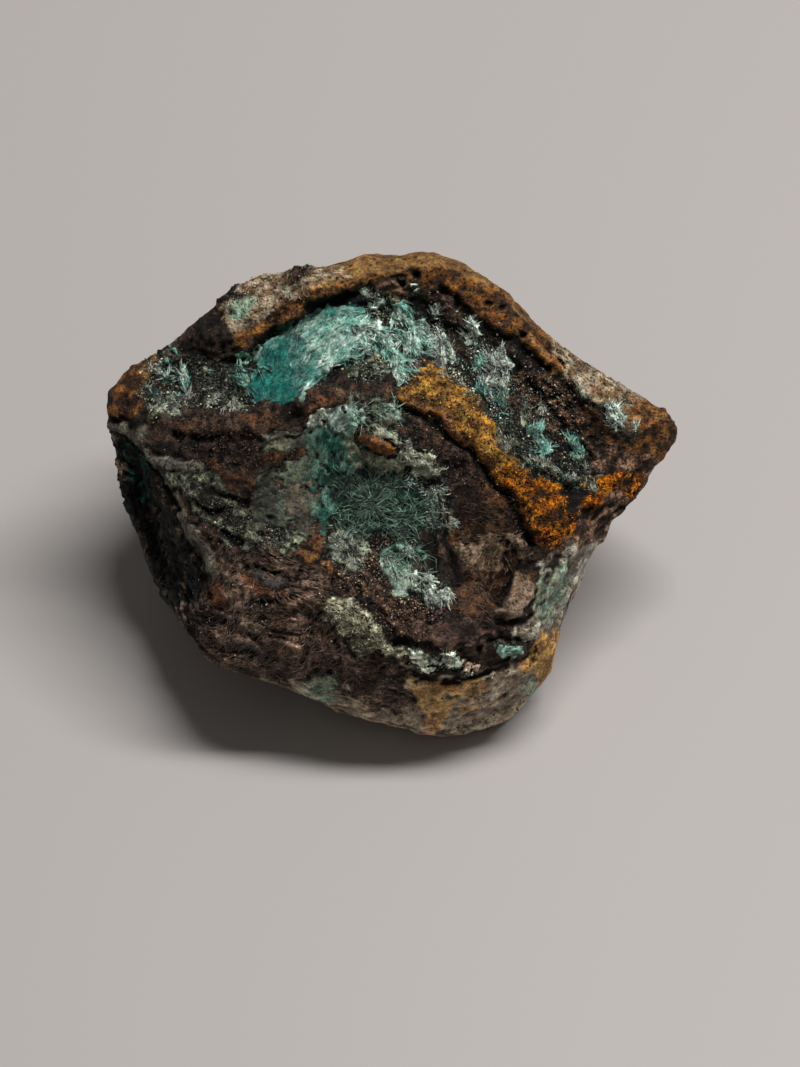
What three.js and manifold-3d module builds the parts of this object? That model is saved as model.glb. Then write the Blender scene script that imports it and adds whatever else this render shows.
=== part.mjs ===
// An aurichalcite nodule: a fist-sized lump of brown limonite, broken open on one side, with
// teal aurichalcite grown as crusts of blades in the hollows of the broken face.
//
// Units are millimetres, +Z up. The stone rests on the flat of its underside at z = 0, and the
// origin is on that plane, under the middle of the bounding box. The broken face looks towards
// -Y and up.
import * as THREE from "three";
import { ImprovedNoise } from "three/addons/math/ImprovedNoise.js";
import { mergeVertices } from "three/addons/utils/BufferGeometryUtils.js";
import Module from "manifold-3d";

const wasm = await Module();
wasm.setup();
const perlin = new ImprovedNoise();

// ---- Driving dimensions ---------------------------------------------------------------------

const FACE_TILT = THREE.MathUtils.degToRad(58); // the broken face's normal, above the horizon
const FACE_ORIGIN = new THREE.Vector3(-1.1, -8.13, 37.5); // the middle of the broken face
const BODY_CENTRE = new THREE.Vector3(0.2, 1.17, 22); // the hidden faces are measured from here

const STONE_DETAIL = 14; // each side of the starting icosahedron is parted into one more than this
const FACE_DENSITY = 0.4; // how far the mesh is drawn together on the broken face, 0 to 1
const EDGE_SHARPNESS = 4.5; // 2 is a round edge between the broken face and the rest, 8 a square one
const EDGE_FULL = 0.8; // the share of the rounded edge past which the relief has its full height
const RELIEF_REACH = 15; // how far a line of the relief is felt
const RELIEF_CREASE = 1.35; // 1 creases the surface along its lines, 2 rounds it
const LEAST_DISTANCE = 0.05; // nearer than this to a line, the surface is simply on it
const HIDDEN_ROUNDING = 2; // how softly the hidden faces meet
const LEAST_THICKNESS = 2; // at the outline, where the broken face meets the hidden side
const HIDDEN_FROM = 0.25; // how far a point must face away from the front to be hidden, 0 to 1
const LUMPS = { height: 1.5, length: 7, crestLength: 3.2 }; // the roughness of the rock
const SWELLS = { height: 2.4, length: 15, crestLength: 7 }; // the hidden side's unevenness
const RELAX = { rounds: 2, out: 0.5, along: 0.25 }; // evens the mesh, mostly in depth

const RUST_NODULE = { across: -0.7, up: 6.8, turn: -28, length: 6, width: 2.4, sunk: 0.5 };

const CLEAR_OF_ROCK = 30; // a distance out from the face's middle that no rock reaches
const SURFACE_STEP = 1.5; // the slope of the rock is measured over this distance

const BED_GAP = 0.35; // clear space between a crust and the rock under it
const BED_MARGIN = 0.5; // and round its outline, where the rock's walls may slope
const CRUST_DEPTH = 0.9; // how deep a crust goes below the rock's surface
const CRUST_RISE = 0.7; // how far it stands above it
const CRUST_EDGE = 0.15; // what both of these thin to at its outline
const BED_HEIGHT = 9; // how far above the rock a bed is kept clear
const CRUST_TRIM = 0.1; // what is trimmed off its outline, with the sprays that lean over it
const CRUST_RINGS = 3;
const CRUST_SPOKES = 22;
const CRUST_FILL = 0.86; // the share of a crust, from its middle, that has sprays on it
const SPRAY = {
  blades: 5, // each is a point of a star
  reach: 3, // from the star's middle to its tips
  notch: 0.3, // how far out the star is between two blades, as a share of its reach
  tip: 2, // the height of the tips
  middle: 1.4, // and of the middle
  unevenness: 0.28, // by how much the blades' lengths and heights differ
  sunk: 1, // how deep the foot goes
  lift: 0.3, // from the rock's surface to where these heights are counted from
};
const SPRAY_SIZES = [1, 0.85, 0.7, 0.55, 0.4]; // the largest that stays on its crust is used
const CRUST_EDGE_KEPT = 0.35; // the band along a crust's outline that has no sprays

// ---- The broken face's own frame: across, up and out ----------------------------------------

const ACROSS = new THREE.Vector3(1, 0, 0);
const UP = new THREE.Vector3(0, Math.sin(FACE_TILT), Math.cos(FACE_TILT));
const OUT = new THREE.Vector3(0, -Math.cos(FACE_TILT), Math.sin(FACE_TILT));

// The row-frame point that lies `across`, `up` and `out` of the middle of the broken face.
function facePoint(across, up, out) {
  return FACE_ORIGIN.clone()
    .addScaledVector(ACROSS, across)
    .addScaledVector(UP, up)
    .addScaledVector(OUT, out);
}

// The outline of the stone, seen square to the broken face, clockwise from the left tip. The
// third number is how far out the edge lies there.
const OUTLINE = [
  [-40.2, 12.1, -11], [-38.6, 14.7, -11], [-36, 18, -12], [-32.2, 19.3, -13], [-29.8, 21.8, -12],
  [-26, 24.2, -10], [-23.6, 26.6, -9], [-21.2, 29.3, -9], [-16.2, 30.6, -9], [-12.1, 31.2, -8],
  [-7.1, 31.9, -8], [-2.8, 33.4, -8.5], [2.1, 33.2, -8.5], [7.1, 33.5, -8.5], [10.7, 32.4, -9],
  [15.2, 29.6, -9], [19.2, 25.9, -9], [23, 21.7, -9], [28, 18.2, -9.5], [34.2, 14.5, -10],
  [36.7, 12.8, -10], [40.8, 10.8, -10], [42.9, 9.7, -10.5], [42.6, 7.7, -11], [39.3, 4.6, -12],
  [37.2, 2.6, -13], [36.5, -0.3, -13], [33.9, -2.9, -13.5], [31.7, -4.3, -14], [30.7, -7.6, -15],
  [29.1, -8.9, -17], [28.4, -12.5, -18], [25.6, -16.2, -19], [24.9, -21.7, -20],
  [23.7, -26.4, -20.5], [19.9, -31.3, -21], [14.1, -35.1, -21.5], [10.9, -35.8, -21.5],
  [5.1, -34.9, -21], [0, -33.7, -20], [-6.5, -31.8, -19], [-12.2, -29, -17.5],
  [-17.7, -26.6, -16.5], [-24.4, -25.4, -15.5], [-26.5, -22.2, -15], [-28.9, -19.4, -16],
  [-30.2, -15.8, -17], [-32.8, -14.7, -19], [-33.9, -11.8, -19], [-33.9, -9.8, -19],
  [-35.8, -6.2, -19], [-37.6, -1, -19], [-38.1, 2.2, -18], [-38.5, 6.7, -15], [-39.6, 10, -12],
];

// The relief of the broken face: the lines along its crests, floors and slopes, each a row of
// [across, up, out]. Between the lines the surface is blended.
const RELIEF = {
  rimSkin: [[-21, 26.5, -3], [-16, 28, -2.5], [-10.5, 29, -2], [-5, 31, -2], [2, 31.5, -2],
    [7.5, 31.5, -2], [13.5, 28, -3], [19, 23.5, -3], [23, 19.5, -3.5], [29, 15, -4],
    [36, 11, -6], [40.5, 9, -8]],
  rimLip: [[-23, 21, -2], [-18, 21.5, -1], [-12, 25, -0.5], [-6.5, 27.5, -0.5],
    [-2, 29.5, -0.5], [4, 30.5, -1], [9, 28, -1.5], [13.5, 25, -1.5], [18, 21.5, -1.5],
    [23, 18, -2], [25.5, 14.5, -2.5], [30.5, 12, -3.5], [34, 8, -5], [37.5, 6.5, -7]],
  upperFloor: [[-25.5, 16.5, -8], [-20.5, 18, -9], [-15.5, 20.5, -9.5], [-9, 24, -9],
    [-3.5, 26.5, -8.5], [2, 28, -8], [8, 25.5, -8.5]],
  upperBank: [[-24, 13, -5], [-17.5, 15, -5], [-10.5, 18, -4.5], [-3.5, 20.5, -4], [3.5, 22, -5]],
  leftPocket: [[-30, 17, -8], [-33.5, 15, -7.5], [-31, 12.5, -6]],
  leftKnob: [[-37, 15, -6], [-35.5, 12.5, -5]],
  upperBlock: [[-25.5, 22.5, -5], [-27, 20.5, -6.5]],
  midRidge: [[-38.5, 11, -7], [-34.5, 9.5, -3.5], [-28.5, 10, 0], [-21.5, 11, 2.5],
    [-14.5, 11.5, 4], [-9, 13.5, 5.5], [-5, 15, 6], [0, 14.5, 6.5], [3, 13.5, 6.5]],
  leftArris: [[-37, 9, -7], [-33, 7, -2.5], [-31, 3.5, -1], [-28, -1.5, 0], [-26.5, -7, 0.5],
    [-24, -12, 0], [-21, -15.5, 0]],
  leftFace: [[-35.5, 5.5, -12], [-34.5, -1.5, -13], [-32, -8, -14], [-29, -14, -10]],
  ochrePlate: [[3.5, 14, 7], [7.5, 14.5, 6], [10.5, 12, 6], [13, 9, 5.5], [15.5, 5.5, 5],
    [17.5, 2, 4.5], [20, 0, 4]],
  orangePocket: [[22.5, -2, 2.5], [24.5, -4, 2], [22.5, -7.5, 1.5]],
  rightBar: [[29, -0.5, -2.5], [32.5, 1.5, -4], [35.5, 1.5, -7]],
  rightUnder: [[33.5, -1.5, -8], [29, -6.5, -7], [27, -7, -5]],
  troughFloor: [[6.5, 24.5, -7.5], [11, 20.5, -7.5], [15, 16.5, -7], [18.5, 11.5, -8],
    [22.5, 7, -8.5], [26.5, 3.5, -9], [29, 1.5, -8.5]],
  troughBank: [[12, 23.5, -5], [19, 17.5, -5.5], [23.5, 13.5, -5], [29, 9, -6], [34, 5, -8]],
  centreFloor: [[-10.5, 5, 0], [-7.5, 0, -1.5], [-5, -4, -2], [0.5, -7, -1.5], [3.5, -12.5, 0]],
  paleShelf: [[-20, 3, 2.5], [-17, -0.5, 1], [-14, -4, 1.5]],
  brownField: [[-30, 6.5, -1], [-23, 5.5, 1.5], [-12, 7, 3]],
  darkSlope: [[7.5, 7, 4], [12, 3, 3], [16, -1.5, 2]],
  bowl: [[10, -4, 0], [14.5, -5.5, -1], [17.5, -10, -1], [16, -14, 0]],
  lowerBrow: [[-21, -15.5, 0.5], [-13.5, -14, 2], [-6.5, -14, 3], [-0.5, -17, 4],
    [6.5, -19, 4.5], [13, -18.5, 4], [19, -17, 2.5], [22.5, -14.5, 0]],
  flankEdge: [[27, -7, -5], [23.5, -10.5, -1.5], [21.5, -14, -0.5], [20.5, -17.5, 0]],
  flankFloor: [[27, -10.5, -9], [25, -14, -9], [23.5, -18.5, -10], [23, -21.5, -10]],
  lowerSlope: [[-25.5, -21, -5], [-17.5, -22.5, -4], [-10.5, -22.5, -2], [-3.5, -23, -1]],
  lowerLip: [[-6.5, -24, -1.5], [2, -21, 1.5], [9, -22, 1.5], [14.5, -21, 0.5],
    [20.5, -19.5, -2]],
  groove: [[-5, -25.5, -5], [3.5, -24.5, -3.5], [9, -25.5, -4], [16, -24.5, -4.5],
    [22, -22.5, -8]],
  lobeCrest: [[-12, -26, -7], [-5, -28.5, -8], [2, -28.5, -7], [9, -28.5, -7],
    [16.5, -27.5, -8.5], [21.5, -25.5, -12]],
  lobeFront: [[-8, -30, -14], [2, -32.5, -14], [11, -33.5, -15], [18, -31, -16]],
};

// The flat faces that close the stone behind, below and at the sides: which way each looks,
// counted anticlockwise from +X and above the horizon, and its distance from the body's centre.
const HIDDEN_FACES = [
  { name: "underside", turn: 0, rise: -90, distance: BODY_CENTRE.z + 1 },
  { name: "back", turn: 92, rise: -6, distance: 26 },
  { name: "backRight", turn: 42, rise: -20, distance: 29.5 },
  { name: "backLeft", turn: 138, rise: -16, distance: 32.5 },
  { name: "rightUnder", turn: 4, rise: -42, distance: 28.5 },
  { name: "leftUnder", turn: 184, rise: -36, distance: 35 },
  { name: "frontUnder", turn: 238, rise: -52, distance: 31 },
];

// ---- The stone's surface --------------------------------------------------------------------

// How far the outline is from the middle of the face in one direction, and how far out it lies.
function outlineTowards(angle) {
  const dx = Math.cos(angle);
  const dy = Math.sin(angle);
  for (let i = 0; i < OUTLINE.length; i++) {
    const [x0, y0, out0] = OUTLINE[i];
    const [x1, y1, out1] = OUTLINE[(i + 1) % OUTLINE.length];
    const across = dx * (y1 - y0) - dy * (x1 - x0);
    const share = (dy * x0 - dx * y0) / across;
    const radius = (x0 * (y1 - y0) - y0 * (x1 - x0)) / across;
    if (radius > 0 && share >= 0 && share <= 1) return { radius, out: out0 + share * (out1 - out0) };
  }
  throw new Error("the outline is open towards " + angle);
}

// The nearest point of one line of the relief: its distance, and how far out the line is there.
function nearestOnLine(line, across, up) {
  let best = { distance: Infinity, out: 0 };
  for (let i = 0; i + 1 < line.length; i++) {
    const [x0, y0, out0] = line[i];
    const [x1, y1, out1] = line[i + 1];
    const length2 = (x1 - x0) ** 2 + (y1 - y0) ** 2;
    const along = ((across - x0) * (x1 - x0) + (up - y0) * (y1 - y0)) / length2;
    const share = THREE.MathUtils.clamp(along, 0, 1);
    const distance = Math.hypot(across - x0 - share * (x1 - x0), up - y0 - share * (y1 - y0));
    if (distance < best.distance) best = { distance, out: out0 + share * (out1 - out0) };
  }
  return best;
}

// How far out the broken face lies, blended between the lines of its relief.
function reliefAt(across, up) {
  let sum = 0;
  let weights = 0;
  for (const line of Object.values(RELIEF)) {
    const near = nearestOnLine(line, across, up);
    const reach = Math.max(0, RELIEF_REACH - near.distance);
    const weight = (reach / (near.distance + LEAST_DISTANCE)) ** RELIEF_CREASE;
    sum += weight * near.out;
    weights += weight;
  }
  return sum / weights;
}

// How far out the hidden side lies: the outermost of its flat faces, with softened edges.
function hiddenAt(across, up) {
  const foot = facePoint(across, up, 0).sub(BODY_CENTRE);
  let sum = 0;
  for (const face of HIDDEN_FACES) {
    const turn = THREE.MathUtils.degToRad(face.turn);
    const rise = THREE.MathUtils.degToRad(face.rise);
    const level = Math.cos(rise);
    const normal = new THREE.Vector3(level * Math.cos(turn), level * Math.sin(turn), Math.sin(rise));
    sum += Math.exp((face.distance - foot.dot(normal)) / normal.dot(OUT) / HIDDEN_ROUNDING);
  }
  return HIDDEN_ROUNDING * Math.log(sum);
}

// The surface point for one direction from the stone's middle, z being square to the face.
function surfacePoint(direction) {
  const polar = Math.acos(THREE.MathUtils.clamp(direction.z, -1, 1));
  const angle = Math.atan2(direction.y, direction.x);
  const side = Math.abs(Math.sin(polar)) ** EDGE_SHARPNESS;
  const front = Math.abs(Math.cos(polar)) ** EDGE_SHARPNESS;
  const length = (side + front) ** (1 / EDGE_SHARPNESS);
  const edge = outlineTowards(angle);
  const across = (edge.radius * Math.sin(polar) * Math.cos(angle)) / length;
  const up = (edge.radius * Math.sin(polar) * Math.sin(angle)) / length;
  const height = Math.min(1, Math.abs(Math.cos(polar)) / length / EDGE_FULL);
  const behind = Math.min(hiddenAt(across, up), edge.out - LEAST_THICKNESS);
  const full = direction.z > 0 ? reliefAt(across, up) : behind;
  return facePoint(across, up, edge.out + height * (full - edge.out));
}

// The mesh of a geometry's positions alone, with its shared vertices merged.
function merged(geometry) {
  const bare = new THREE.BufferGeometry();
  bare.setAttribute("position", geometry.getAttribute("position"));
  bare.setIndex(geometry.index);
  return mergeVertices(bare);
}

// Draws each vertex towards the mean of its neighbours, further in depth than along the face,
// which evens out the steepest walls and keeps the outline nearly as it is.
function relax(geometry) {
  const position = geometry.getAttribute("position");
  const index = geometry.index;
  const means = Array.from({ length: position.count }, () => ({ sum: new THREE.Vector3(), count: 0 }));
  const point = new THREE.Vector3();
  for (let i = 0; i < index.count; i++) {
    const next = i % 3 === 2 ? i - 2 : i + 1;
    const mean = means[index.getX(i)];
    mean.sum.add(point.fromBufferAttribute(position, index.getX(next)));
    mean.count += 1;
  }
  for (let i = 0; i < position.count; i++) {
    const mean = means[i].sum.divideScalar(means[i].count);
    point.fromBufferAttribute(position, i);
    const pull = mean.sub(point);
    point.addScaledVector(OUT, (RELAX.out - RELAX.along) * pull.dot(OUT));
    point.addScaledVector(pull, RELAX.along);
    position.setXYZ(i, point.x, point.y, point.z);
  }
}

function noiseAt(point, length) {
  const place = point.clone().sub(BODY_CENTRE).divideScalar(length);
  return perlin.noise(place.x, place.y, place.z);
}

// One kind of unevenness at a point: lumps of a given length, with sharp-crested ones on them.
function unevennessAt(point, { height, length, crestLength }) {
  const usualCrest = 0.3;
  return height * (noiseAt(point, length) + usualCrest - Math.abs(noiseAt(point, crestLength)));
}

// Roughens the evened mesh, and cuts the underside off flat at z = 0, where the stone rests. The
// lumps of the broken face stand out square to it, which keeps its outline, and the lumps and
// swells of the hidden side stand away from the body's centre.
function roughen(geometry) {
  const position = geometry.getAttribute("position");
  const point = new THREE.Vector3();
  for (let i = 0; i < position.count; i++) {
    point.fromBufferAttribute(position, i);
    const outwards = point.clone().sub(BODY_CENTRE).normalize();
    const hidden = THREE.MathUtils.smoothstep(-outwards.dot(OUT), 0, HIDDEN_FROM);
    const uneven = unevennessAt(point, LUMPS) + hidden * unevennessAt(point, SWELLS);
    point.addScaledVector(outwards.lerp(OUT, 1 - hidden), uneven);
    position.setXYZ(i, point.x, point.y, Math.max(0, point.z));
  }
}

// A sphere's mesh, drawn together on the broken face, with each vertex put on the stone.
function stoneGeometry() {
  const geometry = merged(new THREE.IcosahedronGeometry(1, STONE_DETAIL));
  const position = geometry.getAttribute("position");
  const direction = new THREE.Vector3();
  for (let i = 0; i < position.count; i++) {
    direction.fromBufferAttribute(position, i);
    direction.z += FACE_DENSITY;
    const point = surfacePoint(direction.normalize());
    position.setXYZ(i, point.x, point.y, point.z);
  }
  for (let round = 0; round < RELAX.rounds; round++) relax(geometry);
  roughen(geometry);
  return geometry;
}

// ---- Joining and cutting --------------------------------------------------------------------

function solidOf(geometry) {
  const closed = merged(geometry);
  const vertProperties = new Float32Array(closed.getAttribute("position").array);
  const triVerts = new Uint32Array(closed.index.array);
  return new wasm.Manifold(new wasm.Mesh({ numProp: 3, vertProperties, triVerts }));
}

function geometryOf(solid) {
  const { vertProperties, triVerts } = solid.getMesh();
  const geometry = new THREE.BufferGeometry();
  geometry.setAttribute("position", new THREE.BufferAttribute(vertProperties, 3));
  geometry.setIndex(new THREE.BufferAttribute(triVerts, 1));
  return geometry;
}

// ---- The crusts' own forms ------------------------------------------------------------------

// Where each crust grows: a middle, and an outline all of which can be seen from that middle,
// both as [across, up], and how many sprays of blades stand on it.
const CRUSTS = {
  upper_hollow_crust: {
    middle: [-8.9, 19.5],
    sprays: 7,
    outline: [[-20.1, 19], [-17.4, 21.5], [-13.5, 23.8], [-9.2, 25.5], [-5, 26.5], [0, 26.9],
      [3.8, 25.2], [6.1, 22], [5.5, 18.7], [2.8, 16.4], [-1.4, 16.7], [-5.2, 17], [-8.5, 14.7],
      [-12, 12.9], [-15.6, 12.2], [-18.6, 13], [-20.3, 16.1]],
  },
  centre_hollow_crust: {
    middle: [-4.2, -2.5],
    sprays: 11,
    outline: [[-10.2, 10.9], [-6.6, 12.6], [-4.9, 9.8], [-4.1, 4.8], [-1.5, 3.6], [2.8, 3.2],
      [6, 3.6], [7.8, 0.7], [8.1, -3.5], [6.6, -7.7], [8.5, -11.9], [7.7, -15.5], [3.5, -15.8],
      [0.4, -14], [-1.5, -11.2], [-5.6, -11.2], [-9.4, -9.2], [-14, -7.8], [-17.5, -7.7],
      [-18.9, -4.2], [-18.1, 0.7], [-15, 3.9], [-11.9, 7]],
  },
  right_trough_crust: {
    middle: [17.4, 12.7],
    sprays: 7,
    outline: [[7.8, 24.4], [11.3, 23.4], [14.9, 21.5], [18.4, 18.4], [22.2, 13.9], [25.5, 9.6],
      [29, 6.4], [30.6, 3.5], [29, 1.1], [25.9, 1.7], [22.2, 4], [18.8, 6.8], [15.6, 10.2],
      [12.3, 13.6], [9.2, 17.3], [7.2, 21]],
  },
  left_pocket_crust: {
    middle: [-30.7, 14.7],
    sprays: 2,
    outline: [[-33.2, 16.7], [-31, 18.2], [-28.4, 18.7], [-27, 16.4], [-27.6, 13.6],
      [-29.3, 11.5], [-31.7, 10.7], [-33.7, 12.2], [-34.2, 14.4]],
  },
  lower_groove_crust: {
    middle: [10.8, -24.1],
    sprays: 3,
    outline: [[2.4, -23.5], [5.6, -22.8], [9.1, -23.1], [12.7, -23.1], [16.2, -22.2],
      [19, -21.2], [20, -22.5], [17.2, -24.3], [13.4, -25.2], [9.1, -25.7], [5.6, -25.5],
      [3, -24.9]],
  },
};

// How far a crust reaches from its middle in one direction.
function crustReach({ middle, outline }, angle) {
  const dx = Math.cos(angle);
  const dy = Math.sin(angle);
  let reach = 0;
  for (let i = 0; i < outline.length; i++) {
    const [x0, y0] = outline[i];
    const [x1, y1] = outline[(i + 1) % outline.length];
    const across = dx * (y1 - y0) - dy * (x1 - x0);
    const share = (dy * (x0 - middle[0]) - dx * (y0 - middle[1])) / across;
    const radius = ((x0 - middle[0]) * (y1 - y0) - (y0 - middle[1]) * (x1 - x0)) / across;
    if (radius > 0 && share >= 0 && share <= 1) reach = Math.max(reach, radius);
  }
  return reach;
}

// The point of the rock's surface that lies at [across, up] on the broken face.
function rockPoint(rock, across, up) {
  const ray = new THREE.Raycaster(facePoint(across, up, CLEAR_OF_ROCK), OUT.clone().negate());
  return ray.intersectObject(rock)[0].point;
}

// Puts a geometry that was made standing on the XY plane on the rock, `lift` above it. It stands
// halfway between square to the rock there and square to the broken face.
function placeOnRock(geometry, rock, across, up, lift) {
  const place = rockPoint(rock, across, up);
  const along = rockPoint(rock, across + SURFACE_STEP, up).sub(place);
  const upward = rockPoint(rock, across, up + SURFACE_STEP).sub(place);
  const normal = new THREE.Vector3().crossVectors(along, upward).normalize().add(OUT).normalize();
  const beside = new THREE.Vector3().crossVectors(normal, along).normalize();
  const forwards = new THREE.Vector3().crossVectors(beside, normal);
  place.addScaledVector(normal, lift);
  return geometry.applyMatrix4(new THREE.Matrix4().makeBasis(forwards, beside, normal).setPosition(place));
}

// How far above and below the rock a crust's two sides lie, at a share of the way to its outline.
function crustThinning(share) {
  return Math.sqrt(1 - share ** 3);
}

function crustTop(share) {
  return CRUST_EDGE + (CRUST_RISE - CRUST_EDGE) * crustThinning(share);
}

function crustBottom(share) {
  return -CRUST_EDGE - (CRUST_DEPTH - CRUST_EDGE) * crustThinning(share);
}

// A closed body on the rock over a crust's outline, between two heights that depend on the share
// of the way from the middle to the outline. A margin carries its edge on outwards, level.
function crustBody(rock, crust, margin, topAt, bottomAt) {
  const shares = Array.from({ length: CRUST_RINGS }, (_, ring) => (ring + 1) / CRUST_RINGS);
  if (margin > 0) shares.push(1);
  const spokes = Array.from({ length: CRUST_SPOKES }, (_, spoke) => spoke);
  const points = [];
  const triangles = [];
  const addPoint = (share, spoke, beyond, height) => {
    const angle = (spoke * 2 * Math.PI) / CRUST_SPOKES;
    const heading = new THREE.Vector2(Math.cos(angle), Math.sin(angle));
    const [across, up] = heading.clone().multiplyScalar(share * crustReach(crust, angle)).toArray();
    const point = rockPoint(rock, crust.middle[0] + across, crust.middle[1] + up);
    point.addScaledVector(ACROSS, beyond * heading.x).addScaledVector(UP, beyond * heading.y);
    point.addScaledVector(OUT, height);
    points.push(point.x, point.y, point.z);
    return points.length / 3 - 1;
  };
  const [top, bottom] = [topAt, bottomAt].map((heightAt) => {
    const centre = addPoint(0, 0, 0, heightAt(0));
    const rings = shares.map((share, ring) => {
      const beyond = ring + 1 === shares.length ? margin : 0;
      return spokes.map((spoke) => addPoint(share, spoke, beyond, heightAt(share)));
    });
    return { centre, rings, edge: rings.at(-1) };
  });
  const addQuad = (a, b, c, d) => triangles.push(a, b, c, a, c, d);
  for (let spoke = 0; spoke < CRUST_SPOKES; spoke++) {
    const next = (spoke + 1) % CRUST_SPOKES;
    triangles.push(top.centre, top.rings[0][spoke], top.rings[0][next]);
    triangles.push(bottom.centre, bottom.rings[0][next], bottom.rings[0][spoke]);
    for (let ring = 0; ring + 1 < shares.length; ring++) {
      const [inner, outer] = [top.rings[ring], top.rings[ring + 1]];
      addQuad(inner[spoke], outer[spoke], outer[next], inner[next]);
      const [innerLow, outerLow] = [bottom.rings[ring], bottom.rings[ring + 1]];
      addQuad(innerLow[spoke], innerLow[next], outerLow[next], outerLow[spoke]);
    }
    addQuad(bottom.edge[spoke], bottom.edge[next], top.edge[next], top.edge[spoke]);
  }
  const geometry = new THREE.BufferGeometry();
  geometry.setAttribute("position", new THREE.Float32BufferAttribute(points, 3));
  geometry.setIndex(triangles);
  return solidOf(geometry);
}

// A spray of flat-sided blades that lean outwards, standing on the XY plane: a star with a
// ridge along each point.
function sprayGeometry(size) {
  const { blades, reach, tip, middle, notch, unevenness, sunk } = SPRAY;
  const points = [0, 0, middle, 0, 0, -sunk / size];
  const triangles = [];
  const [top, bottom] = [0, 1];
  for (let i = 0; i < 2 * blades; i++) {
    const isTip = i % 2 === 0;
    const angle = (i * Math.PI) / blades;
    const radius = isTip ? reach * (1 - unevenness * Math.sin(2 * i) ** 2) : reach * notch;
    const height = isTip ? tip * (1 - unevenness * Math.cos(3 * i)) : 0;
    points.push(radius * Math.cos(angle), radius * Math.sin(angle), height);
    const [here, next] = [2 + i, 2 + ((i + 1) % (2 * blades))];
    triangles.push(top, here, next, bottom, next, here);
  }
  const geometry = new THREE.BufferGeometry();
  geometry.setAttribute("position", new THREE.Float32BufferAttribute(points, 3));
  geometry.setIndex(triangles);
  return geometry.scale(size, size, size);
}

function isOnCrust(crust, across, up) {
  const dx = across - crust.middle[0];
  const dy = up - crust.middle[1];
  return Math.hypot(dx, dy) < crustReach(crust, Math.atan2(dy, dx));
}

// The largest spray that has its whole round on the crust, if any has.
function spraySize(crust, across, up) {
  const turns = Array.from({ length: 12 }, (_, i) => (i * Math.PI) / 6);
  const fits = (size) => turns.every((turn) => {
    const radius = size * SPRAY.reach + CRUST_EDGE_KEPT;
    return isOnCrust(crust, across + radius * Math.cos(turn), up + radius * Math.sin(turn));
  });
  return SPRAY_SIZES.find(fits);
}

// A crust with its sprays, which stand in a sunflower's pattern. What reaches out over the
// crust's outline is trimmed off.
function crustSolid(rock, crust) {
  let solid = crustBody(rock, crust, 0, crustTop, crustBottom);
  for (let i = 0; i < crust.sprays; i++) {
    const angle = i * Math.PI * (3 - Math.sqrt(5));
    const radius = CRUST_FILL * Math.sqrt((i + 0.3) / crust.sprays) * crustReach(crust, angle);
    const across = crust.middle[0] + radius * Math.cos(angle);
    const up = crust.middle[1] + radius * Math.sin(angle);
    const size = spraySize(crust, across, up);
    if (size === undefined) continue;
    const spray = sprayGeometry(size).rotateZ(i);
    placeOnRock(spray, rock, across, up, SPRAY.lift);
    solid = solid.add(solidOf(spray));
  }
  return solid.intersect(crustBody(rock, crust, -CRUST_TRIM, () => BED_HEIGHT, () => -BED_HEIGHT));
}

// The bed that a crust lies in: its own form, wider and deeper by the gap, and open outwards.
function bedSolid(rock, crust) {
  const bedBottom = (share) => crustBottom(share) - BED_GAP;
  return crustBody(rock, crust, BED_MARGIN, () => BED_HEIGHT, bedBottom);
}

// The rusty nodule, shaped like a grain of rice, that lies at the head of the centre hollow.
function rustNoduleSolid(rock) {
  const { across, up, turn, length, width, sunk } = RUST_NODULE;
  const grain = new THREE.IcosahedronGeometry(0.5, 2);
  grain.scale(length, width, width);
  grain.rotateZ(THREE.MathUtils.degToRad(turn));
  placeOnRock(grain, rock, across, up, width / 2 - sunk);
  return solidOf(grain);
}

// ---- The pieces -----------------------------------------------------------------------------

const limonite = new THREE.MeshStandardMaterial({ color: 0x5a4a40, roughness: 0.85, metalness: 0 });
const aurichalcite = new THREE.MeshStandardMaterial({ color: 0x5fb8a8, roughness: 0.5, metalness: 0 });

const nodule = new THREE.Group();
const rock = new THREE.Mesh(stoneGeometry());
let stoneSolid = solidOf(rock.geometry).add(rustNoduleSolid(rock));
for (const [name, crust] of Object.entries(CRUSTS)) {
  const piece = new THREE.Mesh(geometryOf(crustSolid(rock, crust)), aurichalcite);
  piece.name = name;
  nodule.add(piece);
  stoneSolid = stoneSolid.subtract(bedSolid(rock, crust));
}
const stone = new THREE.Mesh(geometryOf(stoneSolid), limonite);
stone.name = "limonite_nodule";
nodule.add(stone);

export default nodule;
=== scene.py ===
import itertools
import math

import bmesh
import bpy
import numpy as np
from mathutils import Matrix, Vector
from mathutils.bvhtree import BVHTree


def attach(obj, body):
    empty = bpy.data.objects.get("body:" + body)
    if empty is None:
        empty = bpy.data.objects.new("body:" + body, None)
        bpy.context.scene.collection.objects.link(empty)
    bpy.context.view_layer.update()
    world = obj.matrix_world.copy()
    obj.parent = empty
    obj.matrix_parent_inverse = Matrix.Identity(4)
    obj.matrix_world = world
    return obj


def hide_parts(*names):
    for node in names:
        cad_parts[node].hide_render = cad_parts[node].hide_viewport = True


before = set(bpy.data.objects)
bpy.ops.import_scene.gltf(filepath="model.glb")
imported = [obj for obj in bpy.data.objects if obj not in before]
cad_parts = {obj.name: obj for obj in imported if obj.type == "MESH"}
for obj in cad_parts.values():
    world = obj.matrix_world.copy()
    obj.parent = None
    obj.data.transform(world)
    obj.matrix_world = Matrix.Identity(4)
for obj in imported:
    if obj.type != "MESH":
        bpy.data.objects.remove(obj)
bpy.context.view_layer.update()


# ---- The broken face and its plan ------------------------------------------------------------
# The stone lies on its flat underside with the broken face tilted back. Places on that face are
# given on a plan: the stone seen square to the face from a fixed distance, drawn on a sheet of
# 800 by 1067 units with x to the right and y down.

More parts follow.
